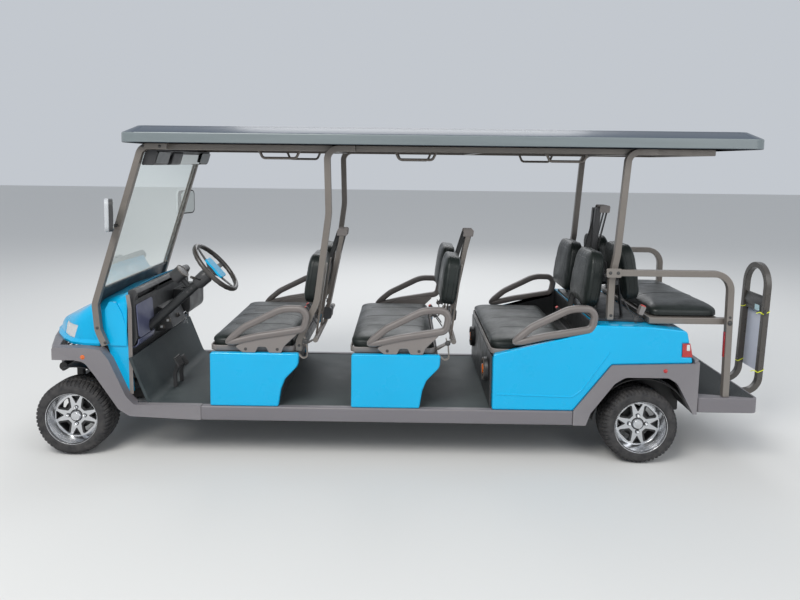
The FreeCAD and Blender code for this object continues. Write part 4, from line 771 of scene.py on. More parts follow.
for end, axle in (("front", FRONT_AXLE_X), ("rear", REAR_AXLE_X)):
    for side, sign in (("left", -1), ("right", 1)):
        place = end + "_" + side
        wheel = "wheel_" + place
        face = bright_face(axle, sign)
        softened("rim_" + place, [bright_alloy, dark_alloy], 0.0012, 2, face, clamped=True)
        tyre = [tyre_form(axle, sign)]
        piece("tyre_" + place + "_tread", tyre_black, tyre, wheel, ["tyre_" + place], 38.0)
        hub, out = np.array((axle, WHEEL_Y * sign, AXLE_Z)), (0, sign, 0)
        lugs = hub + LUG_CIRCLE_R * np.array([(1, 0, 0), (0, 0, 1), (-1, 0, 0), (0, 0, -1)])
        seats = [lathed(NUT_SEAT, at, out, 24) for at in lugs] + [lathed(CAP_SEAT, hub, out, 56)]
        nuts = [lathed(NUT, at, out, 6) for at in lugs] + [lathed(NUT_DOME, at, out, 20) for at in lugs]
        piece("lug_recesses_" + place, dark_alloy, seats, wheel)
        piece("lug_nuts_" + place, chrome, nuts, wheel)
        cap = [lathed(CAP, hub, out, 56)]
        piece("centre_cap_" + place, bright_alloy, cap, wheel, sharp=25.0)
        stem = lathed(VALVE, hub + (0.100, 0.034 * sign, 0.060), out, 16)
        piece("valve_" + place, black_trim, [stem], wheel)
        piece("spoke_pockets_" + place, dark_alloy, pocket_frames(axle, sign), wheel, (), 30.0)


# Padded seats

PAD_ROWS = 14
SWELL_STEPS = 20


def pad_form(edge, crown, hollow, gusset, power):
    """A closed pad: an outline drawn in towards its middle on both faces, with a straight gusset between.
    Rows of the grid run from the back's middle over the edge to the crown's middle. The share of the outline
    and the share of the depth lie on a superellipse of the power."""
    middle = (edge.max(0) + edge.min(0)) / 2
    angle = np.linspace(0, math.pi / 2, PAD_ROWS)
    share, rise = np.cos(angle) ** (2 / power), np.sin(angle) ** (2 / power)
    share = np.concatenate([share[::-1], share])
    depth = np.concatenate([-gusset / 2 - hollow * rise[::-1], gusset / 2 + crown * rise])
    points = np.empty((len(share), len(edge), 3))
    points[..., :2] = middle + (edge - middle) * share[:, None, None]
    points[..., 2] = depth[:, None]
    return grid(points, caps=False)


def stuffed(form, name, voxel, most):
    """A pad after it is remeshed evenly and swollen by an inner pressure, each point moved at most so far."""
    points, faces = form
    mesh = meshed(name, points, [row for rows in faces for row in rows.tolist()])
    merged(mesh, 1e-6)
    cloth = linked(name, mesh)
    remesh = cloth.modifiers.new("even mesh", "REMESH")
    remesh.mode = "VOXEL"
    remesh.voxel_size = voxel
    even = bpy.data.meshes.new_from_object(cloth.evaluated_get(bpy.context.evaluated_depsgraph_get()))
    cloth.modifiers.clear()
    cloth.data = even
    rest = np.array([v.co for v in even.vertices])
    swell = cloth.modifiers.new("swell", "CLOTH")
    swell.settings.use_pressure = True
    swell.settings.uniform_pressure_force = 4.0
    swell.settings.quality = 4
    swell.settings.mass = 0.3
    swell.settings.effector_weights.gravity = 0.0
    for step in range(1, SWELL_STEPS + 1):
        bpy.context.scene.frame_set(step)
    blown = cloth.evaluated_get(bpy.context.evaluated_depsgraph_get()).to_mesh()
    move = np.array([v.co for v in blown.vertices]) - rest
    length = np.linalg.norm(move, axis=1, keepdims=True)
    move *= np.minimum(1.0, most / np.maximum(length, 1e-9))
    cloth.modifiers.clear()
    even.vertices.foreach_set("co", (rest + move).astype(np.float32).ravel())
    bpy.context.scene.frame_set(1)
    mesh = even.copy()
    bpy.data.objects.remove(cloth)
    groups = {}
    for face in mesh.polygons:
        groups.setdefault(len(face.vertices), []).append(list(face.vertices))
    return np.array([v.co for v in mesh.vertices]), [np.array(rows) for rows in groups.values()]


def surface_of(form):
    """A form that rays can be cast at."""
    points, faces = form
    return BVHTree.FromPolygons(points.tolist(), [row for rows in faces for row in rows.tolist()])


def cord_along(run, radius, closed=True, normal=UP):
    """Piping: a small round section along a seam."""
    return carried(run, circle(radius, 8), normal, closed=closed)


def seam_round(surface, edge, depth, sink=0.0006):
    """Where the outline, at a depth, meets the pad: rays cast inwards from outside it."""
    middle = (edge.max(0) + edge.min(0)) / 2
    run = []
    for at in edge:
        aim = Vector((*(middle - at), 0.0)).normalized()
        hit = surface.ray_cast(Vector((*(middle + (at - middle) * 1.5), depth)), aim)[0]
        if hit is not None:
            run.append(np.array(hit) + np.array(aim) * sink)
    return np.array(run)


def seam_over(surface, points, sink=0.0004):
    """Where points above the pad meet its crown when they are let straight down."""
    hits = [surface.ray_cast(Vector(at), Vector((0, 0, -1)))[0] for at in points]
    return np.array([np.array(hit) - (0, 0, sink) for hit in hits if hit is not None])


def seam_across(surface, y, low, high, count):
    """Piping along x over the crown, from low to high."""
    line = seam_over(surface, np.linspace((low, y, 0.2), (high, y, 0.2), count))
    return cord_along(line, 0.0020, closed=False, normal=(0, 1, 0))


def bench():
    """A bench cushion drawn flat with its crown up, and its seams. Its front edge rolls 12 mm over, growing
    with the cube of the distance from the middle, and it is flat where it rests."""
    edge = block((-0.249, 0.243), (-0.540, 0.540), (0.060, 0.035), 8)
    pad = pad_form(even_outline(edge, 0.018), 0.044, 0.003, 0.050, 2.7)
    points, faces = stuffed(pad, "bench_pad", 0.008, 0.006)
    front = np.clip(-points[:, 0] / 0.25, 0, 1) ** 3
    points[:, 0] += 0.012 * front * np.clip(points[:, 2] / -0.03, -1, 1)
    points[:, 2] = np.maximum(points[:, 2], -0.028)
    surface = surface_of((points, faces))
    seams = [cord_along(seam_round(surface, even_outline(edge, 0.012), 0.022), 0.0021)]
    for y, low, high in ((0.0, -0.19, 0.20), (-0.27, -0.17, 0.19), (0.27, -0.17, 0.19)):
        seams.append(seam_across(surface, y, low, high, 40))
    return (points, faces), seams


def backrest():
    """A backrest drawn flat, its height along y and its crown up, with two edge seams and a panel seam."""
    corners = [(-0.205, 0.002, 0.070), (0.205, 0.002, 0.070), (0.219, 0.158, 0.30), (0.175, 0.346, 0.100)]
    edge = outline(corners + [(-0.175, 0.346, 0.100), (-0.219, 0.158, 0.30)], 8)
    form = stuffed(pad_form(even_outline(edge, 0.014), 0.027, 0.014, 0.056, 3.0), "back_pad", 0.007, 0.005)
    surface = surface_of(form)
    fine = even_outline(edge, 0.009)
    seams = [cord_along(seam_round(surface, fine, depth), 0.0022) for depth in (0.020, -0.012)]
    inner = [(-0.135, 0.06, 0.04), (0.135, 0.06, 0.04), (0.12, 0.29, 0.05), (-0.12, 0.29, 0.05)]
    above = np.insert(even_outline(outline(inner), 0.01), 2, 0.2, axis=1)
    seams.append(cord_along(seam_over(surface, above, 0.0008), 0.0016))
    return form, seams


def flip_pad():
    """The rear seat's cushion, thinner, flat below, with one seam low on its side."""
    edge = block((-0.209, 0.209), (-0.512, 0.512), (0.05, 0.07), 8)
    pad = pad_form(even_outline(edge, 0.018), 0.052, 0.004, 0.022, 2.5)
    points, faces = stuffed(pad, "flip_pad", 0.008, 0.006)
    points[:, 2] = np.maximum(points[:, 2], -0.0145)
    surface = surface_of((points, faces))
    seams = [cord_along(seam_round(surface, even_outline(edge, 0.012), -0.004), 0.0022)]
    return (points, faces), seams + [seam_across(surface, y, -0.17, 0.17, 36) for y in (-0.17, 0.17)]


def cushion_piece(name, cushion, places, stands_for=(), body="chassis"):
    """A cushion at each of its places: its pads and their piping as two pieces on one body."""
    form, seams = cushion
    pads = [moved(form, place) for place in places]
    piece(name, seat_hide, pads, body, stands_for, 60.0)
    piping = [moved(seam, place) for place in places for seam in seams]
    piece(name + "_piping", seam_hide, piping, body, sharp=60.0)


bench_cushion = bench()
for row, x in enumerate(ROW_X):
    place = Matrix.Translation((x + 0.249, 0, SEAT_Z + 0.0285))
    cushion_piece(f"bench_cushion_{row + 1}", bench_cushion, [place], ["seat_cushions"] if row == 0 else [])

STOOD_UP = Matrix(((0, 0, -1, 0), (1, 0, 0, 0), (0, 1, 0, 0), (0, 0, 0, 1)))
MID_BACK = 0.036 + 0.225
REAR_BACK_X = 1.3395
FLIP_CUSHION_AT = (1.6445, 0, 0.905)
back_cushion = backrest()
for row, height in enumerate((0.88, 0.88, 1.0)):
    stance = Matrix.Rotation(BACK_LEAN, 4, "Y") @ STOOD_UP @ Matrix.Diagonal((1.0, height, 1.0, 1.0))
    places = [Matrix.Translation((BACK_X[row], sign * MID_BACK, BACK_Z)) @ stance for sign in (-1, 1)]
    cushion_piece(f"backrests_{row + 1}", back_cushion, places, ["seat_backs"] if row == 0 else [])
stance = Matrix.Rotation(-BACK_LEAN, 4, "Y") @ Matrix.Rotation(math.pi, 4, "Z") @ STOOD_UP
places = [Matrix.Translation((REAR_BACK_X, sign * MID_BACK, BACK_Z + 0.044)) @ stance for sign in (-1, 1)]
cushion_piece("rear_facing_backrests", back_cushion, places, ["rear_facing_backs"])
place = Matrix.Translation(FLIP_CUSHION_AT)
cushion_piece("flip_cushion", flip_pad(), [place], ["rear_seat_cushion"], "rear_seat")


# Seat trim: pan edges, bolts, belts and buckles

pan_edge = []
for x in ROW_X:
    loop = block((x - 0.006, x + 0.500), (-0.552, 0.552), (0.045, 0.03), 8)
    path = np.insert(loop, 2, SEAT_Z + 0.017, axis=1)
    pan_edge.append(carried(path, oblong(0.033, 0.010, 0.004), UP, closed=True))
piece("seat_pan_edges", taupe_trim, pan_edge, sharp=50.0)

HANGER = [(0.566, -0.578, 0.100), (0.580, -0.578, 0.05), (0.585, -0.578, -0.02), (0.560, -0.578, -0.035)]
HANGER.append((0.530, -0.570, -0.01))
arm_bolts, arm_straps = [], []
for x in ROW_X[:2]:
    arm_bolts.append(bolt((x + 0.576, -0.590, SEAT_Z + 0.073), radius=0.011, rise=0.008))
    arm_bolts += [bolt((x + dx, -0.5925, SEAT_Z + 0.022), radius=0.006, rise=0.004) for dx in (0.215, 0.405)]
    path = [(x + a, y, SEAT_Z + b) for a, y, b in HANGER]
    arm_straps.append(strap(path, 0.024, 0.008, [0.03, 0.02, 0.02]))
piece("armrest_bolts", cast_steel, both(arm_bolts))
piece("armrest_straps", bronze_tube, both(arm_straps))


def buckle(place, low, high, half, press_low, press_high, press_half):
    """A buckle's body and its press button, each a tapered plate set in a place."""
    body = plate(tapered(low, high), "xz", -half, half)
    button = plate(tapered(press_low, press_high), "xz", -press_half, press_half)
    return moved(body, place), moved(button, place)


BELT_Y = -0.034
BUCKLE_LEAN, REAR_BUCKLE_LEAN = math.radians(-35.0), math.radians(20.0)
ANCHOR = (1.335, -0.52, 0.872)
TOWER_TOPS = [
    (ROW_X[0] + 0.744, BACK_Z + 0.414),
    (ROW_X[1] + 0.739, BACK_Z + 0.419),
    (ROW_X[2] + 0.793, BACK_Z + 0.590),
]
belts, reels, buckles, buttons, guides = [], [], [], [], []
for back_x, (top_x, top_z) in zip(BACK_X, TOWER_TOPS):
    foot_x = back_x + 0.039
    low = foot_x + 0.10 * (top_x - foot_x) / (top_z - SEAT_Z - 0.06) - 0.032
    over = [(top_x - 0.022, BELT_Y, top_z + 0.012), (top_x + 0.024, BELT_Y, top_z + 0.010)]
    over.append((low + 0.024, BELT_Y, SEAT_Z + 0.16))
    slack = [(top_x - 0.026, BELT_Y, top_z - 0.004), (top_x - 0.048, 0.6 * BELT_Y, top_z - 0.07)]
    slack.append((back_x - 0.022, -0.019, SEAT_Z + 0.19))
    belts += [strap(over, 0.034, 0.003, [0.010]), strap(slack, 0.032, 0.003, [0.30], (1.0, -0.5, 0.0))]
    case = [(low, SEAT_Z + 0.085, 0.014), (low + 0.055, SEAT_Z + 0.085, 0.014)]
    case += [(low + 0.062, SEAT_Z + 0.165, 0.02), (low + 0.008, SEAT_Z + 0.165, 0.01)]
    reels.append(plate(outline(case), "xz", BELT_Y - 0.026, BELT_Y + 0.026))
    guide = [(top_x - 0.040, top_z - 0.030, 0.006), (top_x + 0.028, top_z - 0.030, 0.006)]
    guide = outline(guide + [(top_x + 0.034, top_z + 0.018, 0.012), (top_x - 0.034, top_z + 0.018, 0.012)])
    for cheek in (BELT_Y - 0.023, BELT_Y + 0.023):
        guides.append(plate(guide, "xz", cheek - 0.002, cheek + 0.002))
    place = Matrix.Translation((back_x - 0.045, -0.055, SEAT_Z + 0.095))
    place = place @ Matrix.Rotation(BUCKLE_LEAN, 4, "Y")
    body, button = buckle(
        place, (0.011, 0.02, 0.004), (0.013, 0.085, 0.007), 0.018,
        (0.009, 0.074, 0.003), (0.009, 0.0885, 0.004), 0.014,
    )
    buckles += [moved(strap([(0, 0, -0.06), (0, 0, 0.0), (0, 0, 0.03)], 0.022, 0.006), place), body]
    buttons.append(button)
place = Matrix.Translation((1.372, -0.5, 0.905)) @ Matrix.Rotation(REAR_BUCKLE_LEAN, 4, "Y")
body, button = buckle(
    place, (0.013, -0.005, 0.004), (0.016, 0.05, 0.007), 0.02,
    (0.012, 0.044, 0.003), (0.012, 0.0545, 0.004), 0.015,
)
guides.append(body)
buttons.append(button)
belts.append(strap([(1.372, -0.5, 0.90), ANCHOR], 0.024, 0.003))
belts.append(strap([(1.250, -0.50, 1.02), (1.300, -0.52, 0.93), ANCHOR], 0.010, 0.004))
piece("belts", belt_black, both(belts), sharp=50.0)
piece("belt_reels", black_trim, both(reels), bevel=0.005)
piece("belt_buckles", black_trim, both(buckles), bevel=0.002)
piece("buckle_buttons", buckle_red, both(buttons), bevel=0.0015)
piece("belt_guides", taupe_trim, both(guides), bevel=0.0012)


# Driver's place

SHAFT_TILT = math.radians(42.0)
STEER_AT = Vector((FRONT_AXLE_X + 0.805, -0.300, SEAT_Z + 0.467))
STEER_AXIS = Vector((math.cos(SHAFT_TILT), 0, math.sin(SHAFT_TILT)))
FACING = Matrix.Rotation(math.pi / 2 - SHAFT_TILT, 4, "Y")
WHEEL_PLACE = Matrix.Translation(STEER_AT) @ FACING


def steering_grip():
    """The ring: a round section turned about the shaft, pinched into finger scallops on its lower side."""
    turn = np.arange(144)[:, None] / 144 * 2 * math.pi
    around = np.arange(18) / 18 * 2 * math.pi
    scallop = 0.0010 * np.cos(turn * 24) * np.clip(-np.sin(around) - 0.2, 0, 1)
    radius = 0.0152 - scallop
    ring = 0.178 + radius * np.cos(around)
    points = np.stack([ring * np.cos(turn), ring * np.sin(turn), radius * np.sin(around)], -1)
    return grid(points, along=True)


def spoke(angle):
    """A tapered flat spoke from the hub to the ring, dished towards the shaft."""
    run = smooth_line([(0.030, 0, -0.020), (0.080, 0, -0.016), (0.168, 0, -0.002)], 14)
    form = carried(run, oblong(0.034, 0.006, 0.0028), size=np.linspace(1.15, 0.8, 14))
    return moved(form, Matrix.Rotation(math.radians(angle), 4, "Z"))


grip = [moved(steering_grip(), WHEEL_PLACE)]
piece("steering_ring", black_gloss, grip, "steering_wheel", ["steering_wheel"])
hub = [(0, -0.056), (0.034, -0.056), (0.036, -0.050), (0.040, -0.030), (0.060, -0.022), (0.062, -0.012)]
hub = lathed(hub + [(0.050, -0.006), (0, -0.006)], (0, 0, 0), UP, 48)
spokes = [moved(form, WHEEL_PLACE) for form in (spoke(0), spoke(90), spoke(180), hub)]
piece("steering_hub", black_trim, spokes, "steering_wheel")
pad = [(-0.076, -0.048, 0.018), (0.078, -0.056, 0.018), (0.078, 0.056, 0.018), (-0.076, 0.048, 0.018)]
pad = [moved(plate(outline(pad), "xy", -0.012, 0.004), WHEEL_PLACE)]
piece("steering_centre_pad", blue_coat, pad, "steering_wheel", bevel=0.005)

GAUGE_AT = STEER_AT - STEER_AXIS * 0.174 + Vector((-STEER_AXIS.z, 0, STEER_AXIS.x)) * 0.122
BEZEL = [(0.0395, -0.004), (0.0470, -0.004), (0.0485, 0.001)]
BEZEL += [(0.0470, 0.0045), (0.0430, 0.0050), (0.0395, 0.0022)]
FACE = [(0, -0.001), (0.0405, -0.001), (0.0405, 0.0010), (0, 0.0010)]
DOME = [(0, 0.0016), (0.0400, 0.0016), (0.0400, 0.0026), (0.030, 0.0045), (0.015, 0.0056), (0, 0.0060)]
piece("gauge_bezel", black_gloss, [turned(BEZEL, GAUGE_AT, STEER_AXIS, 56)])
piece("gauge_face", black_trim, [lathed(FACE, GAUGE_AT, STEER_AXIS, 40)])
piece("gauge_glass", black_gloss, [lathed(DOME, GAUGE_AT, STEER_AXIS, 40)])
mark = plate(block((0.029, 0.0365), (-0.0007, 0.0007)), "xy", 0.0009, 0.0013)
needle = outline([(-0.006, -0.0014), (0.031, -0.0005), (0.031, 0.0005), (-0.006, 0.0014)])
on_dial = [(mark, 60 + 60 * k) for k in range(5)] + [(plate(needle, "xy", 0.0013, 0.0016), 140)]
dial = Matrix.Translation(GAUGE_AT) @ FACING
marks = [moved(form, dial @ Matrix.Rotation(math.radians(angle), 4, "Z")) for form, angle in on_dial]
piece("gauge_marks", housing_grey, marks)

levers, knobs = [], []
for sign in (-1, 1):
    line = [(0, 0.03 * sign, 0), (-0.008, 0.08 * sign, 0.014), (-0.030, 0.135 * sign, 0.035)]
    run = smooth_line([tuple(STEER_AT - STEER_AXIS * 0.115 + Vector(at)) for at in line], 12)
    levers.append(carried(run, circle(0.0045, 12), (1, 0, 0)))
    knobs.append(carried(run[-4:], circle(0.0085, 14), (1, 0, 0)))
shroud = [(0, -0.165), (0.036, -0.165), (0.044, -0.150), (0.046, -0.085), (0.040, -0.068), (0, -0.066)]
levers.append(lathed(shroud, STEER_AT, STEER_AXIS, 40))
for along in (0.20, 0.235):
    levers.append(bolt(STEER_AT - STEER_AXIS * along + Vector((0, -0.0285, 0)), radius=0.006, rise=0.005))
piece("column_shroud", black_trim, levers)
piece("lever_knobs", black_gloss, knobs)

DASH_X = FRONT_AXLE_X + 0.3253
slate = outline([(-0.492, 0.705, 0.03), (-0.232, 0.705, 0.03), (-0.232, 0.915, 0.02), (-0.492, 0.915, 0.02)])
slate = [leaning(plate(slate, "yz", 0.0, 0.006), DASH_X + 0.0385, 0.935, -0.071)]
piece("dash_slate_panel", slate_painted_sky, slate, bevel=0.0022)
knee = [(DASH_X + x, -0.366, z) for x, z in ((0.056, 0.700), (0.052, 0.672), (0.032, 0.652), (0.004, 0.652))]
knee = [carried(bent(knee, [0.02, 0.02], 6), oblong(0.262, 0.007, 0.003))]
piece("dash_knee_roll", slate_painted_sky, knee)
strip = [(x, -0.5352, z) for x, z in ((-1.728, 0.985), (-1.7165, 0.900), (-1.7175, 0.640), (-1.7150, 0.372))]
strip = both([carried(bent(strip, [0.08, 0.2], 8), oblong(0.0045, 0.024, 0.0018))])
piece("leg_edge_strips", taupe_trim, strip)

switches, rockers = [], []
for x, z in ((-1.664, 0.694), (-1.622, 0.738)):
    case = block((x - 0.017, x + 0.017), (z - 0.012, z + 0.012), 0.004)
    switches.append(plate(case, "xz", -0.1445, -0.139))
    rocker = block((x - 0.011, x + 0.004), (z - 0.007, z + 0.007), 0.002)
    rockers.append(plate(rocker, "xz", -0.149, -0.143))
lock = [(0, -0.004), (0.016, -0.004), (0.016, 0.010), (0.0125, 0.013), (0.0125, 0.022), (0, 0.022)]
switches.append(lathed(lock, (-1.612, 0.0, 0.742), (0.92, 0, 0.38), 32))
piece("dash_switches", black_gloss, switches, bevel=0.0012)
piece("switch_faces", pale_shell, rockers, bevel=0.001)

place = Matrix.Translation((-1.592, 0.0, 0.750)) @ Matrix.Rotation(math.radians(-22.0), 4, "Y")
shank = plate(block((-0.002, 0.022), (-0.004, 0.004), 0.001), "xy", -0.001, 0.001)
bow = plate(block((0.020, 0.040), (-0.011, 0.011), (0.006, 0.008)), "xy", -0.0014, 0.0014)
ring = np.insert(circle(0.012, 24), 1, 0.0, axis=1) + (-1.556, 0.0, 0.754)
keys = [moved(shank, place), moved(bow, place), carried(ring, circle(0.0011, 8), closed=True)]
blade = [(-0.003, -0.062, 0.001), (0.003, -0.062, 0.001), (0.004, -0.024), (0.010, -0.018, 0.004)]
blade += [(0.010, 0.0, 0.006), (-0.010, 0.0, 0.006), (-0.010, -0.018, 0.004), (-0.004, -0.024)]
for angle in (-12, 9):
    place = Matrix.Translation((-1.556, 0.0001 * angle, 0.745)) @ Matrix.Rotation(math.radians(angle), 4, "Y")
    keys.append(moved(plate(outline(blade), "xz", -0.001, 0.001), place))
piece("keys", chrome, keys)

rubbers = []
for y, z, half in ((-0.250, 0.178, 0.039), (-0.130, 0.150, 0.024)):
    for share in (np.arange(6) + 0.5) / 6:
        at = np.array((FRONT_AXLE_X + 0.5635 - 0.032 * share, y, FLOOR_Z + z - 0.031 + 0.060 * share))
        rubbers.append(carried([at - (0, half, 0), at + (0, half, 0)], oblong(0.006, 0.005, 0.0018), UP))
piece("pedal_ribs", tyre_black, rubbers)


# Mirrors, lamps and markers

SCREEN_FOOT_X, SCREEN_FOOT_Z, SCREEN_SLOPE = FRONT_AXLE_X + 0.157, 0.953, 0.297 / 0.919
MIRROR_RISE = 0.455
MIRROR_TURN = math.radians(24.0)
mirror_x = SCREEN_FOOT_X + MIRROR_RISE * SCREEN_SLOPE - 0.028
place = Matrix.Translation((mirror_x, -0.684, SCREEN_FOOT_Z + MIRROR_RISE + 0.070))
place = place @ Matrix.Rotation(MIRROR_TURN, 4, "Z")
shell = moved(plate(block((-0.0885, 0.0825), (-0.0945, 0.0945), 0.036, 8), "yz", -0.0025, 0.024), place)
silver = moved(plate(block((-0.076, 0.070), (-0.082, 0.082), 0.028, 8), "yz", 0.0435, 0.0462), place)
piece("mirror_shells", pale_shell, both([shell]), bevel=0.009)
piece("mirror_glasses", mirror_glass, both([silver]), bevel=0.0008)
wide = plate(block((-0.058, 0.358), (1.772, 1.836), 0.01), "yz", 0.0, 0.0022)
piece("wide_mirror", mirror_glass, [leaning(wide, -1.5580, 1.7687, 0.286)], bevel=0.0008)
grille = plate(block((-0.530, -0.328), (1.778, 1.846), 0.012), "yz", 0.0, 0.003)
piece("overhead_grilles", housing_grey, both([leaning(grille, -1.5480, 1.7667, 0.318)]), bevel=0.001)

front_marker = round_lens((-1.9785, -0.605, 0.617), 0.011, 0.006)
rear_marker = round_lens((1.500, -0.610, 0.584), 0.010, 0.006)
piece("front_markers", lens_orange, both([front_marker]))
piece("rear_markers", lens_red, both([rear_marker]))
# A slim red strip on the body beside each grab rail leg.
slim = plate(block((-0.5716, -0.5516), (0.662, 0.815), 0.003), "yz", 1.8555, 1.8605)
piece("leg_red_strips", lens_red, both([slim]), bevel=0.001)
# A pale wedge at the rear top of each tail lamp, in the lens painted pale and bright.
clear = [(1.622, 0.706, 0.004), (1.6425, 0.706, 0.004), (1.6395, 0.744, 0.006), (1.622, 0.742, 0.004)]
clear = both([plate(outline(clear), "xz", -0.6052, -0.590)])
piece("tail_pale_wedges", lens_painted_bright, clear, bevel=0.0015)

CONE = [(0, -0.004), (0.0572, -0.004), (0.0572, 0.006), (0.050, 0.008)]
CONE += [(0.022, -0.002), (0.018, 0.004), (0, 0.007)]
RING = [(0.060, 0.010), (0.068, 0.010), (0.070, 0.014), (0.066, 0.018), (0.060, 0.016)]
BUTTON = [(0, 0.004), (0.030, 0.004), (0.031, 0.016), (0.026, 0.021), (0, 0.023)]
speaker_at = (ROW_X[2] - 0.024, -0.4, FLOOR_Z + 0.198)
piece("speaker_cones", black_trim, both([lathed(CONE, speaker_at, FORWARD, 48)]))
piece("speaker_rings", black_gloss, both([turned(RING, speaker_at, FORWARD, 48)]))
piece("speaker_lenses", lens_orange, both([lathed(BUTTON, speaker_at, FORWARD, 36)]))


# Rear end

HOOP_TOP_X, HOOP_TOP_Z, HOOP_LEAN = 2.3365, 1.140, math.radians(2.5)
HOOP_LEG_Y = 0.135


def hoop_x(z):
    """Where the hoop's middle line stands at a height."""
    return HOOP_TOP_X - (HOOP_TOP_Z - z) * math.tan(HOOP_LEAN)


def down_hoop(low, high, behind):
    """Twelve points up the hoop's middle plane, so far behind its middle line."""
    return np.array([(hoop_x(z) + behind, 0.0, z) for z in np.linspace(low, high, 12)])


board = down_hoop(0.430, 0.850, 0.0215)
board[:, 0] -= 0.10 * np.clip(0.50 - board[:, 2], 0, 1) ** 1.5
piece("hoop_board", board_white, [carried(board, oblong(0.292, 0.004, 0.0018))])
cloth = down_hoop(0.835, 0.945, -0.004)
cloth[:, 0] += 0.006 * np.sin(np.linspace(0, 9, 12))
x = hoop_x(0.845)
lashing = [(x - 0.022, -0.165, 0.843), (x, -0.1585, 0.846), (x, 0.1585, 0.852)]
lashing = strap(lashing, 0.030, 0.003, [0.01], UP)
piece("hoop_straps", belt_black, [carried(cloth, oblong(0.226, 0.005, 0.002)), lashing], sharp=60.0)
x = hoop_x(0.86)
tag = plate(block((-0.085, -0.030), (0.842, 0.880), 0.004), "yz", x - 0.016, x - 0.013)
piece("hoop_tag", tag_blue, [tag])
ties = []
TIE_HALF = 0.0205
for z in (0.842, 0.452):
    x = hoop_x(z)
    for leg_y in (-HOOP_LEG_Y, HOOP_LEG_Y):
        loop = block((x - TIE_HALF, x + TIE_HALF + 0.003), (leg_y - TIE_HALF, leg_y + TIE_HALF), 0.008, 4)
        path = np.column_stack([loop, z + 0.010 * (loop[:, 0] - x) / TIE_HALF])
        ties.append(carried(path, oblong(0.0055, 0.0016, 0.0006, 1), UP, closed=True))
    tail = [(x - 0.021, -0.150, z - 0.008), (x - 0.045, -0.160, z + 0.006), (x - 0.066, -0.150, z - 0.002)]
    ties.append(carried(smooth_line(tail, 10), oblong(0.0050, 0.0014, 0.0005, 1), UP))
piece("hoop_ties", tie_yellow, ties)

tape = outline([(1.735, -0.520, 0.02), (2.052, -0.585, 0.02), (2.052, 0.585, 0.02), (1.735, 0.520, 0.02)])
piece("step_tape", step_tape, [plate(tape, "xy", 0.4185, 0.4202)])

FRAME_BOLTS = [
    # x, y, z, radius, rise
    (1.8795, -0.5805, 0.871, 0.010, 0.008),
    (1.8795, -0.5805, 0.905, 0.005, 0.004),
    (1.160, -0.5815, 1.163, 0.007, 0.006),
    (1.206, -0.5815, 1.163, 0.007, 0.006),
    (1.335, -0.532, 0.872, 0.011, 0.010),
    (-1.600, -0.5822, 1.878, 0.006, 0.005),
    (-1.500, -0.5822, 1.878, 0.006, 0.005),
    (-1.8955, -0.5822, 0.790, 0.006, 0.005),
    (-1.850, -0.5822, 0.700, 0.006, 0.005),
    (-0.690, -0.5425, 0.690, 0.006, 0.005),
    (1.184, -0.5425, 0.90, 0.006, 0.005),
]
piece("frame_bolts", cast_steel, both([bolt(at, LEFT, radius, rise) for *at, radius, rise in FRAME_BOLTS]))
clamp = both([plate(block((1.138, 1.226), (1.136, 1.190), 0.010), "xz", -0.5825, -0.5795)])
piece("grab_rail_plates", bronze_tube, clamp, bevel=0.001)


# Sills and body lines

blank = plate(block((0.584, 0.730), (0.2665, 0.2945), 0.004), "xz", -0.6035, -0.5995)
piece("blank_plate", black_gloss, [blank], bevel=0.0012)
SEAM_X = (-0.780, -0.3705, 0.070, 0.4775)
seams = [plate(block((x - 0.0012, x + 0.0012), (0.242, 0.321)), "xz", -0.6006, -0.5985) for x in SEAM_X]
piece("sill_seams", black_steel, both(seams))
treads = []
for low, high in ((-0.778, -0.373), (0.073, 0.475)):
    lip = outline([(low, 0.302, 0.004), (high, 0.302, 0.004), (high, 0.322, 0.006), (low, 0.322, 0.006)])
    treads.append(plate(lip, "xz", -0.6035, -0.5985))
piece("sill_step_strips", taupe_trim, both(treads), bevel=0.0015)
swage = [(0.500, 0.424), (0.9555, 0.4127), (1.008, 0.455), (1.127, 0.629), (1.168, 0.689)]
swage = bent([(x, -0.6000, z) for x, z in swage], [0.05, 0.05, 0.2], 8)
piece("body_swage", blue_coat, both([carried(swage, circle(0.0028, 12) * (1.0, 1.9))]))


# Armrests, wheel wells and a black sheet of painted shade behind the dashboard

ARM_TIP = (0.084, 0.050)
ARM_LINE = [(0.206, 0.152, 0.180), (0.436, 0.268, 0.200), (0.588, 0.266, 0.050), (0.564, 0.144, 0.042)]
FOOT_LINE = [(150, 36), (196, 0), (272, 0), (290, 34), (336, 34), (354, 0), (428, 0), (446, 40), (538, 130)]
FOOT_LINE += [(420, 120), (260, 96)]


def arm_loop(across, up):
    """A padded arm: a rounded bar carried round a closed line that rises to the back and turns down. The bar
    thins to two fifths at the front tip, by a bell curve of the distance from it."""
    flat = even_outline(outline([(*ARM_TIP, 0.006), *ARM_LINE, (0.290, 0.098, 0.090)], 12), 0.008)
    path = np.stack([flat[:, 0] + across, np.full(len(flat), -0.577), flat[:, 1] + up], -1)
    size = 1 - 0.6 * np.exp(-((np.linalg.norm(flat - ARM_TIP, axis=1) / 0.040) ** 2))
    return carried(path, oblong(0.050, 0.041, 0.017, 5), closed=True, size=size)


arms = [arm_loop(ROW_X[0], SEAT_Z), arm_loop(ROW_X[1], SEAT_Z), arm_loop(ROW_X[2] + 0.022, SEAT_Z + 0.022)]
piece("arm_loops", taupe_trim, both(arms), stands_for=["armrests"], sharp=60.0)
feet = []
for x in ROW_X[:2]:
    foot = outline([(x + a / 1000, SEAT_Z + b / 1000, 0.010) for a, b in FOOT_LINE], 5)
    feet.append(plate(foot, "xz", -0.592, -0.545))
piece("arm_feet", taupe_trim, both(feet), bevel=0.004)

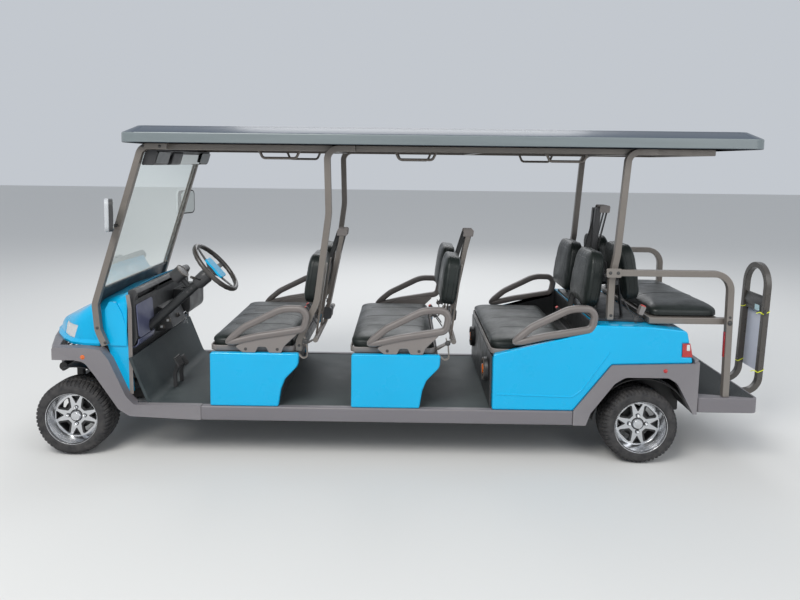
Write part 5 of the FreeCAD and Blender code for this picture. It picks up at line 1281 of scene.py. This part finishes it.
ARCH_R = 0.300
angles = np.radians(np.linspace(40, 172, 50))
arch = (REAR_AXLE_X, -0.484, AXLE_Z) + ARCH_R * np.stack([np.cos(angles), 0 * angles, np.sin(angles)], -1)
wall = [(-0.34, 0.262), (-0.15, 0.262), (-0.12, 0.345), (0.12, 0.345), (0.15, 0.262), (0.30, 0.262)]
wall = outline([(REAR_AXLE_X + a, b, 0.01) for a, b in wall + [(0.30, 0.515), (-0.34, 0.515)]])
wells = both([carried(arch, oblong(0.222, 0.003, 0.0012)), plate(wall, "xz", -0.373, -0.370)])
piece("wheel_wells", black_steel, wells, sharp=50.0)
# Painted shade: a black sheet behind the dashboard fills the gap above the toe board where shade falls.
shade_sheet = outline([(-0.525, 0.430, 0.01), (0.525, 0.430, 0.01), (0.525, 0.900, 0.04), (-0.525, 0.900, 0.04)])
shade_sheet = [plate(shade_sheet, "yz", -1.746, -1.742)]
piece("dash_painted_shade_sheet", black_trim, shade_sheet, bevel=0.001)


# Camera, floor and light

FOCAL_PX = 676.7
IMAGE_WIDTH_PX = 800.0
AXIS_ABOVE_CENTRE_PX = 78.2
CAMERA_AT = Vector((FRONT_AXLE_X + 2.005, -4.551, 1.799))
PITCH_DOWN = math.radians(5.0)
ROLL = math.radians(0.683)
YAW_LEFT = math.radians(0.431)
FLOOR_REACH = 40.0


def place_camera():
    """The photograph's view: nearly square to the near side, a little above the roof's half height."""
    data = bpy.data.cameras.new("photo camera")
    data.sensor_width = 36.0
    data.lens = FOCAL_PX / IMAGE_WIDTH_PX * data.sensor_width
    data.shift_y = -AXIS_ABOVE_CENTRE_PX / IMAGE_WIDTH_PX
    camera = linked("photo camera", data)
    turn = Matrix.Rotation(YAW_LEFT, 4, "Z") @ Matrix.Rotation(math.pi / 2 - PITCH_DOWN, 4, "X")
    camera.matrix_world = Matrix.Translation(CAMERA_AT) @ turn @ Matrix.Rotation(ROLL, 4, "Z")
    bpy.context.scene.camera = camera


def soft_light(name, at, towards, size, power, colour=(1.0, 1.0, 1.0)):
    """A large square lamp that faces a point."""
    data = bpy.data.lights.new(name, "AREA")
    data.shape = "SQUARE"
    data.size = size
    data.energy = power
    data.color = colour
    lamp = linked(name, data)
    lamp.location = at
    lamp.rotation_euler = (Vector(towards) - Vector(at)).to_track_quat("-Z", "Y").to_euler()


def studio():
    """Pale floor, pale surroundings and three soft lamps."""
    floor = np.insert(block((-FLOOR_REACH, FLOOR_REACH), (-FLOOR_REACH, FLOOR_REACH))[1:], 2, 0.0, axis=1)
    mesh = meshed("studio floor", floor, [(0, 1, 2, 3)])
    mesh.materials.append(shader("pale floor", (0.66, 0.66, 0.65), 0.85)[0])
    linked("studio floor", mesh)
    world = bpy.data.worlds.new("studio")
    world.use_nodes = True
    background = world.node_tree.nodes["Background"]
    background.inputs["Color"].default_value = (0.88, 0.93, 1.0, 1.0)
    background.inputs["Strength"].default_value = 0.62
    bpy.context.scene.world = world
    soft_light("key", (-3.0, -5.5, 7.0), (0, 0, 0.8), 4.0, 520.0, (1.0, 0.98, 0.94))
    soft_light("fill", (5.0, -5.0, 4.0), (0, 0, 0.8), 5.0, 140.0)
    soft_light("back", (0.0, 6.0, 6.0), (0, 0, 1.0), 6.0, 260.0)


place_camera()
studio()
bpy.context.scene.view_settings.view_transform = "Standard"
